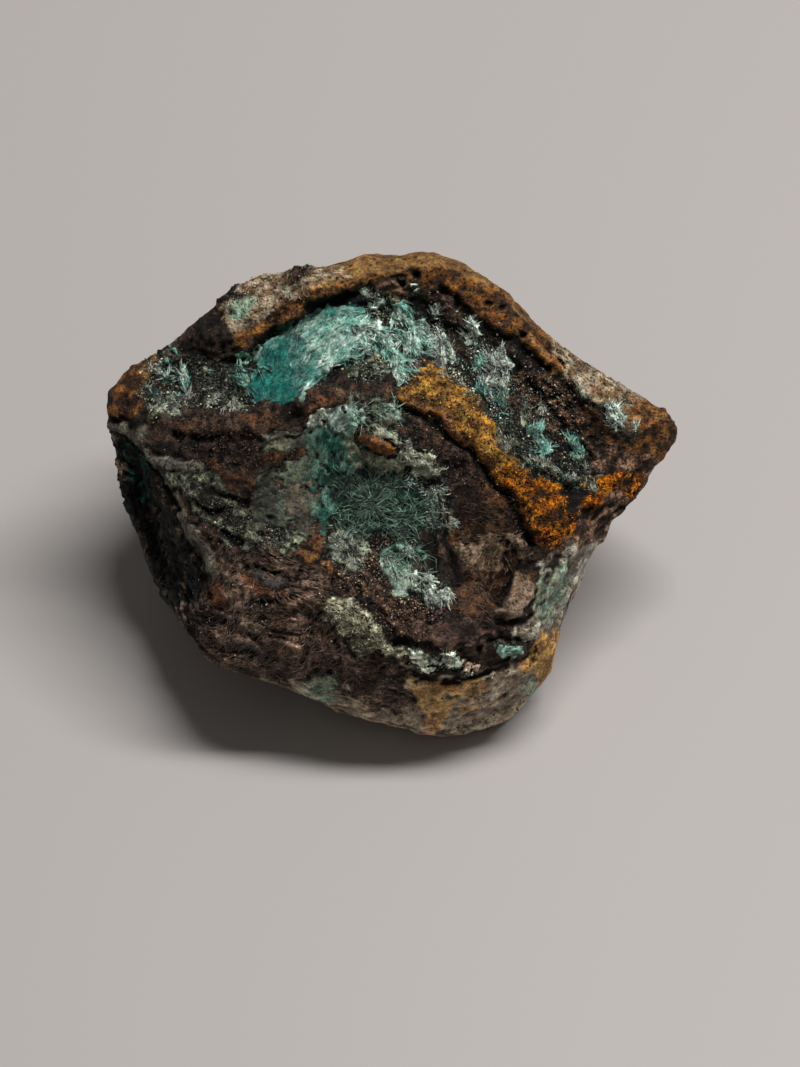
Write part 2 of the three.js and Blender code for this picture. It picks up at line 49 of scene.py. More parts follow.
MM = 0.001
FACE_TILT = math.radians(58)  # the face's normal, above the table
FACE_MIDDLE = np.array((-1.1, -8.13, 37.5))  # mm, in the row frame
ACROSS = np.array((1.0, 0.0, 0.0))
UP = np.array((0.0, math.sin(FACE_TILT), math.cos(FACE_TILT)))
OUT = np.array((0.0, -math.cos(FACE_TILT), math.sin(FACE_TILT)))

PLAN_SIZE = (800, 1067)
PLAN_MIDDLE = (385, 490)  # where the face's middle falls on the plan
PLAN_UNIT = 0.14  # mm at the face's middle
VIEW_DISTANCE = 600.0  # mm


def face_coordinates(points):
    """How far across, up and out of the face's middle each point lies, in mm."""
    offset = points - FACE_MIDDLE
    return offset @ ACROSS, offset @ UP, offset @ OUT


def plan_places(points):
    """Where each point, in mm in the row frame, falls on the plan."""
    across, up, out = face_coordinates(points)
    shrink = VIEW_DISTANCE / (VIEW_DISTANCE - out) / PLAN_UNIT
    return PLAN_MIDDLE[0] + across * shrink, PLAN_MIDDLE[1] - up * shrink


# ---- The limonite stone -----------------------------------------------------------------------
# One lump of brown limonite. Its weathered skin is left along the upper rim and on the hidden
# side, and the broken face shows purple-brown, ochre and rust-red iron ore in ledges and pits.

STONE_CELL = 0.93  # mm, the spacing of the stone's mesh
FACE_CUTS = 2  # new points on each edge of it that lies on the broken face
FACE_SLOPE = (-0.35, 0.05)  # how far the surface faces out where the broken face begins
FINE_SLOPE = 0.1  # how far it faces out where its mesh is made finer
BED_FILL = 0.45  # mm that each crust is swollen, to close the clear space round it
BED_SINK = 1.0  # mm from the crusts' tops down to the rock that carries them
CRUST_DEPTH = 4.0  # mm, the most from a crust's top down to rock that counts as covered
CLEAR_OF_ROCK = 40.0  # mm out from the face's middle, where no rock reaches
SMOOTHING = {"all over": 1, "under the crusts": 30, "broken face": 14}  # rounds
CRUST_NODES = [name for name in sorted(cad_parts) if name != "limonite_nodule"]


def lattice_value(x, y, z, seed):
    """One number from 0 to 1 for each corner of a lattice, the same on every run."""
    mixed = (x * 374761393 + y * 668265263 + z * 1442695041 + seed * 974634777) & 0xFFFFFFFF
    mixed = ((mixed ^ (mixed >> 13)) * 1274126177) & 0xFFFFFFFF
    return ((mixed ^ (mixed >> 16)) & 0xFFFFF) / float(0xFFFFF)


def smooth_step(low, high, value):
    """0 below `low`, 1 above `high`, and a soft change between them."""
    share = np.clip((value - low) / (high - low), 0, 1)
    return share * share * (3 - 2 * share)


def swells(points, length, seed):
    """Smooth unevenness from -1 to 1, with swells about `length` mm apart."""
    place = points / length + seed * 7.31
    corner = np.floor(place).astype(np.int64)
    share = place - corner
    share = share * share * share * (share * (share * 6 - 15) + 10)
    sides = (1 - share, share)
    total = np.zeros(len(points))
    for step in itertools.product((0, 1), repeat=3):
        weight = math.prod(sides[far][:, axis] for axis, far in enumerate(step))
        total += weight * lattice_value(*(corner + step).T, seed)
    return total * 2 - 1


LAYER_TURN = np.array(Matrix.Rotation(1.1, 3, Vector((0.5, 0.7, 0.4)).normalized()))


def rough(points, length, layers, seed):
    """Unevenness with ever finer and lower swells on it, each layer turned against the last."""
    total = np.zeros(len(points))
    height = 1.0
    for layer in range(layers):
        total += height * swells(points, length, seed + layer)
        points = points @ LAYER_TURN
        length *= 0.5
        height *= 0.5
    return total


def grains(points, length, seed):
    """The distance to the nearest of scattered grains, in grain lengths, and that grain's own
    number from 0 to 1."""
    place = points / length
    corner = np.floor(place).astype(np.int64)
    nearest = np.full(len(points), 9.0)
    own = np.zeros(len(points))
    for step in itertools.product((-1, 0, 1), repeat=3):
        x, y, z = (corner + step).T
        away = np.sqrt(
            (x + lattice_value(x, y, z, seed) - place[:, 0]) ** 2
            + (y + lattice_value(x, y, z, seed + 1) - place[:, 1]) ** 2
            + (z + lattice_value(x, y, z, seed + 2) - place[:, 2]) ** 2
        )
        own = np.where(away < nearest, lattice_value(x, y, z, seed + 3), own)
        nearest = np.minimum(nearest, away)
    return nearest, own


def near_line(x, y, line):
    """Distance on the plan from each place to a line of points."""
    distance = np.full(len(x), np.inf)
    for (x0, y0), (x1, y1) in zip(line, line[1:]):
        dx, dy = x1 - x0, y1 - y0
        share = np.clip(((x - x0) * dx + (y - y0) * dy) / (dx * dx + dy * dy), 0, 1)
        distance = np.minimum(distance, np.hypot(x - x0 - share * dx, y - y0 - share * dy))
    return distance


def inside(x, y, outline):
    """Distance on the plan from each place to an outline, positive inside it."""
    ring = (*outline, outline[0])
    distance = near_line(x, y, ring)
    within = np.zeros(len(x), bool)
    for (x0, y0), (x1, y1) in zip(ring, ring[1:]):
        crosses = (y0 > y) != (y1 > y)
        if y0 != y1:
            within ^= crosses & (x < (x1 - x0) * (y - y0) / (y1 - y0) + x0)
    return np.where(within, distance, -distance)


def extent(shape, reach):
    """The left, top, right and bottom of a shape on the plan, each `reach` further out."""
    return (*(np.min(shape, axis=0) - reach), *(np.max(shape, axis=0) + reach))


def close_by(x, y, shape, reach):
    """The numbers of the places that lie within `reach` of a shape's extent on the plan."""
    left, top, right, bottom = extent(shape, reach)
    return np.nonzero((x > left) & (x < right) & (y > top) & (y < bottom))[0]


def read(items, name, width, kind=float):
    """One value of each of a mesh's items, in rows."""
    values = np.empty(len(items) * width, kind)
    items.foreach_get(name, values)
    return values.reshape(-1, width)


class Surface:
    """A mesh being shaped: its points in mm, and its edges and triangles by number."""

    def __init__(self, mesh):
        mesh.calc_loop_triangles()
        self.points = read(mesh.vertices, "co", 3)
        self.edges = read(mesh.edges, "vertices", 2, np.int64)
        self.triangles = read(mesh.loop_triangles, "vertices", 3, np.int64)
        self.neighbours = np.bincount(self.edges.ravel(), minlength=len(self.points))[:, None]

    def normals(self):
        """The direction that the surface faces at each point."""
        a, b, c = (self.points[self.triangles[:, i]] for i in range(3))
        facing = np.cross(b - a, c - a)
        total = np.zeros_like(self.points)
        for corner in range(3):
            for axis in range(3):
                total[:, axis] += np.bincount(self.triangles[:, corner], facing[:, axis], len(total))
        return total / np.maximum(np.linalg.norm(total, axis=1, keepdims=True), 1e-12)

    def evened(self, values):
        """Each point's value replaced by the mean of its neighbours' values."""
        start, end = self.edges.T
        total = np.empty_like(values)
        for axis in range(values.shape[1]):
            total[:, axis] = np.bincount(start, values[end, axis], len(values))
            total[:, axis] += np.bincount(end, values[start, axis], len(values))
        return total / self.neighbours

    def smoothed(self, rounds, share=1.0):
        """The points after rounds of smoothing, by a share from 0 to 1 of their own if given."""
        points = self.points.copy()
        for _ in range(rounds):
            points += 0.5 * share * (self.evened(points) - points)
        return points


def placed(name, data):
    """An object that stands in the scene, made of a mesh or other data."""
    thing = bpy.data.objects.new(name, data)
    bpy.context.scene.collection.objects.link(thing)
    return thing


def joined_form():
    """All the CAD nodes as one mesh in mm, the crusts swollen so that they meet the stone."""
    form = bmesh.new()
    for name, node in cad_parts.items():
        piece = bmesh.new()
        piece.from_mesh(node.data)
        bmesh.ops.remove_doubles(piece, verts=piece.verts, dist=1e-7)
        piece.normal_update()
        swell = BED_FILL if name in CRUST_NODES else 0.0
        for vertex in piece.verts:
            vertex.co = vertex.co / MM + vertex.normal * swell
        mesh = bpy.data.meshes.new(name + "_form")
        piece.to_mesh(mesh)
        piece.free()
        form.from_mesh(mesh)
        bpy.data.meshes.remove(mesh)
    mesh = bpy.data.meshes.new("form")
    form.to_mesh(mesh)
    form.free()
    return mesh


def evenly_meshed(mesh, cell):
    """The outside of a mesh, rebuilt of even four-sided cells."""
    holder = placed("form", mesh)
    remesh = holder.modifiers.new("cells", "REMESH")
    remesh.mode = "VOXEL"
    remesh.voxel_size = cell
    graph = bpy.context.evaluated_depsgraph_get()
    even = bpy.data.meshes.new_from_object(holder.evaluated_get(graph))
    bpy.data.objects.remove(holder)
    bpy.data.meshes.remove(mesh)
    return even


def cad_tree():
    """A search tree of all the CAD nodes in mm, and whether each of its faces is a crust's."""
    places, faces, on_crust = [], [], []
    for name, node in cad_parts.items():
        first = len(places)
        places += [vertex.co / MM for vertex in node.data.vertices]
        for polygon in node.data.polygons:
            faces.append([first + corner for corner in polygon.vertices])
            on_crust.append(name in CRUST_NODES)
    return BVHTree.FromPolygons(places, faces), on_crust


cad_faces, on_crust = cad_tree()


def under_crusts(points):
    """1 for each point of the rock that a crust covers, looking square to the broken face, or 0."""
    covered = np.zeros(len(points))
    for i, point in enumerate(points):
        start = point + (CLEAR_OF_ROCK - (point - FACE_MIDDLE) @ OUT) * OUT
        hit, _, face, _ = cad_faces.ray_cast(Vector(start), Vector(-OUT))
        if hit is not None and on_crust[face]:
            covered[i] = (np.array(hit) - point) @ OUT < CRUST_DEPTH
    return covered


coarse = evenly_meshed(joined_form(), STONE_CELL)
surface = Surface(coarse)
facing_out = surface.normals() @ OUT
covered = (under_crusts(surface.points) * (facing_out > 0))[:, None]
surface.points = surface.smoothed(SMOOTHING["all over"])
surface.points = surface.smoothed(SMOOTHING["under the crusts"], covered)
on_fine_side = facing_out > FINE_SLOPE
stone_shape = bmesh.new()
stone_shape.from_mesh(coarse)
for vertex, place in zip(stone_shape.verts, surface.points):
    vertex.co = place
split = [
    edge for edge in stone_shape.edges
    if on_fine_side[edge.verts[0].index] and on_fine_side[edge.verts[1].index]
]
bmesh.ops.subdivide_edges(stone_shape, edges=split, cuts=FACE_CUTS, use_grid_fill=True)
stone_mesh = bpy.data.meshes.new("limonite_stone")
stone_shape.to_mesh(stone_mesh)
stone_shape.free()
bpy.data.meshes.remove(coarse)
surface = Surface(stone_mesh)
on_face = smooth_step(*FACE_SLOPE, surface.normals() @ OUT)
surface.points = surface.smoothed(SMOOTHING["broken face"], on_face[:, None])
covered = surface.evened(under_crusts(surface.points)[:, None])[:, 0]


# What the rock looks like where it is the same all over: its colour from 0 to 255, the colour of
# its patches, their share and their size in mm, its relief and the height of it in mm, how rough
# it is to the light, and how much its shade varies from place to place.
FINISHES = {
    "purple brown": ((66, 51, 42), (34, 27, 22), 0.45, 3, "crumbly", 0.36, 0.72, 1.2),
    "purple ridge": ((104, 82, 73), (64, 49, 43), 0.4, 2, "smooth", 0.2, 0.6, 0.8),
    "fibrous brown": ((142, 118, 103), (80, 63, 53), 0.45, 2.5, "fibrous", 0.3, 0.65, 1.1),
    "red brown": ((92, 65, 48), (52, 38, 30), 0.4, 1.6, "crumbly", 0.26, 0.7, 1),
    "red granules": ((90, 70, 58), (20, 17, 14), 0.5, 0.8, "grainy", 0.5, 0.5, 1.6),
    "brown crystal": ((112, 84, 66), (32, 24, 19), 0.5, 0.8, "grainy", 0.5, 0.4, 1.6),
    "dark rock": ((54, 41, 34), (15, 12, 10), 0.5, 1.2, "grainy", 0.45, 0.6, 1.4),
    "trough rock": ((48, 37, 30), (8, 6, 5), 0.55, 0.9, "grainy", 0.5, 0.55, 1.8),
    # Dark goethite of the hollows, painted black also for the shade under the rims: partly painted shade.
    "black hollow": ((24, 18, 16), (10, 8, 7), 0.5, 1.5, "grainy", 0.4, 0.65, 1),
    # Painted shade: the dark of cracks, holes and the crevice under the lip, painted into the rock.
    "painted shade gap": ((41, 32, 26), (12, 9, 8), 0.5, 1.4, "crumbly", 0.3, 0.9, 1.5),
    "gold skin": ((143, 111, 74), (113, 84, 55), 0.45, 1.6, "skin", 0.16, 0.85, 0.4),
    "flecked skin": ((164, 148, 126), (120, 94, 72), 0.45, 1, "skin", 0.24, 0.8, 0.9),
    "rust skin": ((114, 78, 48), (56, 39, 29), 0.5, 1.3, "crumbly", 0.3, 0.8, 0.9),
    "rust sliver": ((138, 90, 66), (100, 60, 43), 0.4, 1.2, "smooth", 0.1, 0.6, 0.6),
    "orange edge": ((138, 99, 64), (94, 68, 45), 0.4, 1.2, "crumbly", 0.2, 0.85, 0.8),
    "ochre plate": ((154, 115, 66), (102, 74, 42), 0.42, 1.2, "crumbly", 0.24, 0.85, 1.2),
    "orange sponge": ((170, 102, 40), (72, 43, 21), 0.45, 1.2, "spongy", 0.5, 0.85, 1.2),
    # Ochre lobe and lobe flank: ochre made lighter to make up for the shade on the lobe's downward faces:
    # painted light.
    "ochre lobe": ((252, 212, 158), (202, 160, 116), 0.45, 1.6, "crumbly", 0.14, 0.85, 0.3),
    "lobe flank": ((206, 164, 112), (150, 116, 80), 0.45, 1.2, "crumbly", 0.2, 0.85, 0.5),
    "layered brown": ((120, 95, 78), (58, 43, 35), 0.5, 1.4, "layered", 0.3, 0.7, 1.2),
    # The dark sides' lighter colours are raised to show through the shade on the stone's left side: painted
    # light; the teal is a stain with a painted sheen on it.
    "dark side": ((112, 96, 84), (8, 7, 6), 0.7, 1.6, "fibrous", 0.4, 0.4, 2.2),
    "dark teal side": ((58, 116, 108), (14, 22, 20), 0.55, 1.4, "fibrous", 0.3, 0.35, 1.8),
    "grey green": ((106, 110, 93), (42, 39, 32), 0.45, 1.1, "pocked", 0.34, 0.65, 1.3),
    "grey ledge": ((114, 111, 98), (68, 64, 56), 0.4, 2.4, "smooth", 0.2, 0.55, 0.8),
    "smoky": ((86, 60, 43), (50, 35, 26), 0.45, 2.4, "fibrous", 0.18, 0.5, 1.1),
    "pale smoky": ((168, 146, 124), (100, 82, 66), 0.5, 1.6, "fibrous", 0.16, 0.5, 0.9),
    "pink crystal": ((143, 123, 106), (105, 87, 72), 0.35, 2, "smooth", 0.1, 0.25, 0.5),
    "pale flank": ((186, 180, 165), (130, 117, 103), 0.45, 1.6, "smooth", 0.2, 0.45, 0.7),
    "verdigris": ((136, 160, 140), (158, 160, 138), 0.45, 1, "lumpy", 0.14, 0.5, 0.7),
    "cream crust": ((206, 204, 178), (114, 114, 92), 0.42, 0.7, "grainy", 0.2, 0.7, 1.3),
    "slate": ((70, 66, 62), (38, 35, 33), 0.45, 1.2, "smooth", 0.15, 0.45, 0.9),
    # Grey lobe: made lighter to make up for the shade on the lobe's lower faces: painted light.
    "grey lobe": ((206, 190, 168), (164, 146, 128), 0.45, 1.8, "crumbly", 0.14, 0.75, 0.3),
    "chalky edge": ((164, 148, 130), (106, 92, 78), 0.4, 1.2, "crumbly", 0.2, 0.8, 0.9),
}


def drawn(*numbers):
    """A line or an outline on the plan, from the x and y of each of its points in turn."""
    return tuple(zip(numbers[::2], numbers[1::2]))


# Where each finish lies on the broken face: the finish, how far it stands out in mm, how ragged
# its edge is in plan units, and its outline on the plan. Later ones lie over earlier ones.
STONE_PATCHES = (
    ("fibrous brown", 0, 8, drawn(190, 575, 215, 560, 262, 550, 300, 560, 335, 585, 350, 605, 372, 640,
        390, 665, 350, 698, 300, 684, 262, 676, 212, 668, 180, 628)),
    ("dark side", 0, 3, drawn(100, 420, 128, 436, 146, 448, 156, 470, 176, 486, 186, 520, 196, 556,
        206, 590, 200, 650, 170, 625, 135, 570, 115, 500, 100, 440)),
    ("dark teal side", 0, 4, drawn(120, 436, 136, 440, 146, 456, 148, 478, 154, 496, 144, 504, 134, 488,
        126, 464)),
    ("dark rock", 0, 6, drawn(140, 355, 165, 346, 190, 345, 212, 360, 235, 380, 240, 404, 215, 415,
        180, 418, 150, 418, 136, 398)),
    # The hollow under the upper lip: dark goethite, with painted shade under the rim.
    ("black hollow", 0, 5, drawn(186, 350, 204, 346, 226, 352, 262, 336, 300, 314, 340, 294, 372, 282,
        404, 282, 430, 300, 425, 345, 400, 380, 350, 370, 320, 385, 280, 408, 240, 410, 205, 400,
        190, 384)),
    ("dark rock", 0, 6, drawn(300, 420, 345, 400, 400, 402, 440, 446, 456, 500, 452, 545, 400, 560,
        372, 600, 330, 575, 318, 540, 312, 470)),
    ("trough rock", 0, 5, drawn(428, 290, 455, 296, 480, 316, 510, 338, 545, 356, 568, 388, 592, 410,
        602, 440, 625, 458, 640, 468, 600, 480, 580, 492, 555, 486, 530, 470, 510, 450, 498, 425, 480, 400,
        455, 375, 430, 352, 424, 325)),
    # Painted shade: the black line under the right lip.
    ("black hollow", -0.3, 4, drawn(482, 318, 500, 328, 522, 338, 546, 352, 552, 364, 534, 360, 512, 350,
        494, 344, 484, 332)),
    ("rust skin", 0, 4, drawn(212, 322, 222, 296, 236, 276, 271, 262, 300, 260, 335, 250, 365, 240,
        435, 240, 470, 246, 505, 275, 540, 312, 576, 352, 580, 386, 560, 388, 542, 368, 520, 352, 498, 334,
        478, 318, 458, 302, 440, 290, 424, 284, 400, 284, 384, 283, 360, 288, 330, 301, 306, 312, 280, 327,
        256, 342, 238, 352, 222, 354)),
    ("gold skin", 0.15, 4, drawn(262, 262, 300, 256, 322, 248, 345, 242, 368, 240, 436, 240, 470, 246,
        494, 258, 520, 284, 552, 318, 560, 342, 546, 338, 530, 320, 512, 302, 494, 288, 474, 277, 452, 269,
        430, 264, 412, 268, 396, 274, 372, 273, 350, 279, 328, 288, 306, 297, 288, 302, 270, 296)),
    ("flecked skin", 0.1, 6, drawn(218, 312, 226, 292, 240, 278, 270, 266, 296, 266, 318, 270, 342, 268,
        352, 272, 338, 282, 318, 289, 300, 296, 280, 306, 262, 316, 244, 326, 228, 332, 216, 324)),
    ("dark rock", 0.4, 3, drawn(222, 288, 230, 282, 240, 284, 240, 294, 232, 302, 222, 302)),
    ("dark rock", 0.4, 3, drawn(288, 276, 298, 264, 312, 264, 316, 270, 302, 278)),
    ("verdigris", 0.15, 4, drawn(228, 308, 240, 301, 252, 298, 258, 304, 246, 312, 232, 315)),
    ("verdigris", 0.1, 3, drawn(284, 284, 291, 281, 294, 291, 287, 295)),
    ("verdigris", 0.1, 3, drawn(262, 272, 276, 267, 280, 273, 268, 278)),
    ("chalky edge", 0.1, 4, drawn(238, 324, 252, 315, 268, 307, 271, 313, 254, 324, 242, 331)),
    ("orange edge", 0.1, 3, drawn(230, 336, 246, 328, 264, 320, 286, 310, 308, 300, 328, 291, 348, 283,
        362, 279, 364, 282, 348, 287, 328, 295, 308, 304, 288, 314, 268, 324, 250, 334, 234, 342)),
    # Painted shade under the upper lip.
    ("painted shade gap", -0.3, 3, drawn(238, 354, 262, 335, 280, 325, 300, 311, 322, 301, 344, 293, 362, 287,
        376, 286, 378, 290, 364, 293, 350, 301, 338, 305, 322, 310, 304, 320, 288, 331, 270, 340, 256, 349,
        244, 360)),
    ("painted shade gap", -0.4, 2, drawn(392, 276, 402, 273, 406, 284, 405, 302, 398, 304, 394, 292)),
    ("painted shade gap", -0.4, 2, drawn(366, 286, 374, 281, 378, 290, 386, 292, 390, 304, 378, 302, 366, 300)),
    ("painted shade gap", -0.3, 2, drawn(412, 266, 420, 265, 425, 272, 421, 281, 414, 281, 411, 274)),
    ("layered brown", 0.2, 5, drawn(382, 284, 404, 281, 430, 285, 450, 300, 444, 312, 422, 303, 398, 299,
        384, 296)),
    ("orange edge", 0.2, 4, drawn(512, 328, 530, 336, 548, 350, 562, 366, 574, 388, 566, 390, 556, 378,
        544, 366, 528, 350, 514, 338)),
    ("painted shade gap", -0.5, 4, drawn(484, 322, 504, 332, 524, 344, 540, 356, 548, 368, 540, 372, 522, 360,
        506, 350, 492, 340, 482, 332)),
    ("purple brown", 0.4, 4, drawn(446, 306, 456, 308, 464, 322, 470, 340, 476, 356, 470, 362, 460, 350,
        450, 334, 444, 320)),
    ("brown crystal", 0.3, 5, drawn(514, 380, 534, 370, 556, 376, 572, 392, 584, 410, 582, 428, 560, 434,
        540, 430, 524, 420, 512, 402)),
    ("layered brown", 0, 5, drawn(580, 434, 606, 438, 636, 440, 670, 444, 656, 464, 640, 478, 606, 472,
        588, 464, 576, 450)),
    ("flecked skin", 0.1, 5, drawn(552, 335, 584, 352, 626, 376, 650, 396, 644, 416, 630, 432, 616, 425,
        600, 405, 582, 394, 570, 386, 562, 364)),
    ("rust skin", 0.1, 5, drawn(646, 396, 674, 404, 696, 420, 690, 442, 662, 460, 640, 452, 616, 446,
        600, 440, 584, 430, 574, 414, 580, 398, 600, 410, 626, 434, 640, 424)),
    ("orange edge", 0, 6, drawn(636, 400, 658, 404, 666, 414, 652, 432, 634, 434, 630, 416)),
    ("rust skin", 0, 4, drawn(668, 408, 690, 414, 692, 436, 676, 444, 664, 430)),
    ("ochre plate", 0.5, 5, drawn(424, 360, 438, 372, 452, 384, 467, 397, 478, 408, 488, 420, 496, 433,
        502, 446, 510, 458, 522, 470, 536, 478, 528, 492, 512, 488, 500, 480, 488, 464, 474, 447, 458, 432,
        444, 419, 428, 411, 410, 405, 398, 398, 404, 386, 416, 375)),
    ("orange edge", 0.5, 3, drawn(406, 396, 420, 399, 438, 408, 450, 416, 466, 434, 482, 452, 496, 470,
        492, 472, 476, 456, 458, 438, 440, 420, 420, 408, 406, 402)),
    ("layered brown", 0, 4, drawn(552, 520, 600, 500, 644, 474, 646, 496, 620, 520, 604, 542, 590, 556,
        572, 562, 548, 556)),
    ("orange sponge", 0.45, 5, drawn(500, 458, 512, 468, 524, 475, 540, 479, 556, 487, 567, 496, 568, 508,
        575, 516, 573, 529, 562, 539, 556, 548, 543, 552, 533, 544, 527, 530, 523, 514, 517, 500, 508, 487,
        500, 474)),
    ("orange sponge", 0.3, 5, drawn(576, 508, 582, 496, 592, 482, 606, 476, 630, 472, 642, 476, 634, 488,
        616, 494, 602, 506, 590, 513, 580, 515)),
    ("black hollow", -0.5, 3, drawn(560, 485, 574, 484, 587, 488, 589, 497, 578, 504, 570, 506, 562, 498)),
    ("rust skin", 0.3, 5, drawn(112, 406, 113, 386, 123, 370, 140, 358, 153, 356, 150, 372, 142, 384,
        142, 400, 140, 415, 128, 419, 117, 416)),
    ("purple brown", 0.2, 4, drawn(196, 345, 205, 325, 225, 316, 234, 334, 228, 350, 205, 360)),
    ("purple brown", 0.3, 5, drawn(152, 420, 176, 414, 206, 412, 240, 404, 282, 404, 320, 386, 350, 372,
        352, 384, 318, 404, 300, 414, 262, 432, 220, 440, 180, 436)),
    ("red brown", 0.5, 3, drawn(234, 414, 246, 411, 262, 417, 280, 413, 282, 422, 268, 428, 250, 430,
        238, 424)),
    ("red brown", 0.4, 3, drawn(182, 425, 192, 420, 202, 425, 200, 432, 188, 433)),
    ("red brown", 0.4, 3, drawn(304, 410, 318, 402, 332, 390, 343, 387, 345, 398, 336, 406, 320, 412,
        308, 416)),
    ("dark rock", -0.2, 6, drawn(170, 432, 210, 436, 250, 438, 262, 444, 246, 458, 206, 458, 184, 450)),
    ("smoky", 0.3, 4, drawn(204, 458, 216, 466, 232, 472, 246, 466, 262, 458, 280, 450, 298, 443, 312, 447,
        306, 456, 290, 462, 276, 470, 262, 484, 248, 494, 232, 490, 214, 480)),
    ("grey ledge", 0.5, 2, drawn(112, 422, 130, 424, 146, 428, 153, 438, 157, 450, 166, 456, 184, 460,
        200, 464, 206, 470, 194, 472, 178, 468, 164, 466, 154, 458, 149, 446, 142, 437, 126, 434,
        113, 430)),
    ("grey green", 0.3, 6, drawn(150, 462, 170, 468, 196, 470, 214, 472, 230, 484, 244, 498, 258, 504,
        266, 516, 262, 534, 250, 548, 236, 548, 222, 538, 208, 522, 196, 506, 184, 492, 170, 480)),
    ("grey ledge", 0.3, 4, drawn(180, 498, 190, 510, 202, 536, 214, 560, 222, 576, 214, 580, 202, 564,
        190, 540, 182, 520)),
    ("painted shade gap", -0.4, 3, drawn(198, 498, 212, 510, 226, 512, 222, 520, 210, 516, 200, 508)),
    ("painted shade gap", -0.4, 3, drawn(222, 528, 234, 534, 246, 540, 240, 546, 228, 540, 220, 534)),
    ("painted shade gap", -0.5, 2, drawn(268, 516, 274, 514, 278, 522, 272, 526)),
    ("slate", 0.4, 3, drawn(246, 572, 262, 569, 284, 578, 286, 586, 270, 588, 252, 584)),
    ("rust sliver", 0.3, 1, drawn(212, 586, 217, 585, 230, 602, 227, 605, 219, 598)),
    ("rust sliver", 0.3, 1, drawn(238, 575, 248, 578, 272, 592, 268, 597, 254, 592, 245, 585)),
    ("painted shade gap", -0.2, 2, drawn(240, 600, 262, 602, 280, 600, 282, 604, 262, 608, 242, 606)),
    ("red brown", 0.2, 4, drawn(276, 590, 285, 590, 287, 612, 282, 624, 276, 618)),
    ("chalky edge", 0.1, 5, drawn(238, 624, 252, 620, 266, 624, 264, 632, 248, 632)),
    ("slate", 0.1, 5, drawn(216, 632, 240, 640, 262, 648, 274, 660, 256, 660, 232, 650)),
    ("painted shade gap", -0.2, 4, drawn(196, 612, 212, 610, 226, 618, 216, 626, 200, 624)),
    ("red granules", -0.2, 6, drawn(335, 562, 352, 572, 368, 570, 374, 548, 388, 546, 392, 568, 400, 590,
        412, 600, 432, 606, 450, 602, 446, 622, 430, 636, 412, 644, 398, 640, 384, 622, 368, 606, 350, 598,
        336, 588)),
    ("red brown", 0.6, 3, drawn(300, 536, 308, 529, 318, 529, 325, 538, 327, 552, 320, 561, 308, 562,
        300, 552)),
    ("orange edge", 0.6, 2, drawn(305, 548, 316, 544, 324, 550, 319, 560, 308, 560)),
    ("orange edge", 0.5, 2, drawn(325, 560, 332, 558, 334, 572, 328, 574)),
    ("smoky", -0.2, 6, drawn(448, 492, 474, 480, 502, 488, 518, 520, 522, 550, 516, 580, 500, 602,
        475, 602, 455, 582, 447, 552, 450, 520)),
    ("pale smoky", 0.2, 6, drawn(456, 548, 470, 538, 488, 536, 502, 548, 500, 564, 480, 570, 460, 562)),
    ("pale smoky", 0.25, 3, drawn(505, 538, 514, 536, 524, 544, 531, 553, 522, 557, 512, 549)),
    ("red brown", 0.1, 5, drawn(448, 592, 470, 578, 492, 598, 502, 612, 480, 622, 452, 612)),
    ("red brown", 0.4, 3, drawn(522, 572, 532, 576, 538, 588, 534, 598, 526, 590)),
    ("pink crystal", 0.9, 2, drawn(499, 612, 503, 598, 512, 584, 520, 575, 530, 580, 534, 593, 528, 606,
        516, 616, 505, 620)),
    ("pale flank", 0.1, 5, drawn(536, 576, 545, 558, 565, 546, 596, 540, 592, 562, 583, 582, 566, 604,
        563, 636, 530, 642, 513, 633, 530, 616, 540, 600)),
    ("verdigris", 0.3, 4, drawn(538, 586, 546, 571, 560, 566, 568, 574, 562, 590, 556, 604, 548, 618,
        536, 622, 532, 608, 540, 597)),
    ("purple ridge", 0.2, 5, drawn(396, 620, 424, 628, 452, 618, 478, 624, 496, 634, 476, 640, 444, 644,
        410, 646, 396, 636)),
    # The lower lobe, in finishes lightened to make up for its shade: painted light.
    ("grey lobe", 0, 5, drawn(286, 670, 340, 690, 395, 665, 420, 676, 460, 682, 500, 672, 545, 642,
        562, 640, 560, 680, 530, 718, 484, 746, 440, 748, 385, 734, 340, 720, 296, 698)),
    ("fibrous brown", 0, 6, drawn(330, 640, 370, 652, 404, 676, 416, 700, 396, 714, 352, 698, 330, 668)),
    ("ochre lobe", 0.1, 6, drawn(412, 682, 428, 676, 444, 682, 450, 704, 446, 726, 430, 730, 418, 708)),
    ("ochre lobe", 0.1, 6, drawn(446, 684, 462, 678, 482, 680, 484, 694, 466, 706, 450, 702)),
    ("lobe flank", 0.1, 6, drawn(522, 664, 534, 642, 546, 630, 560, 630, 562, 656, 554, 676, 540, 682,
        530, 678)),
    ("verdigris", 0, 4, drawn(518, 688, 530, 680, 542, 686, 536, 698, 522, 700)),
    ("verdigris", 0.2, 3, drawn(303, 678, 318, 675, 334, 682, 337, 693, 326, 702, 309, 699)),
    ("chalky edge", 0, 3, drawn(262, 672, 300, 688, 340, 706, 386, 720, 432, 728, 470, 726, 450, 746,
        380, 742, 330, 728, 260, 688)),
    ("grey green", 0.4, 4, drawn(322, 606, 342, 602, 372, 634, 384, 656, 362, 656, 338, 640, 326, 624)),
    ("cream crust", 0.7, 5, drawn(326, 604, 336, 598, 350, 602, 366, 614, 380, 630, 392, 642, 403, 654,
        398, 664, 384, 660, 366, 648, 350, 636, 336, 626, 326, 616)),
)

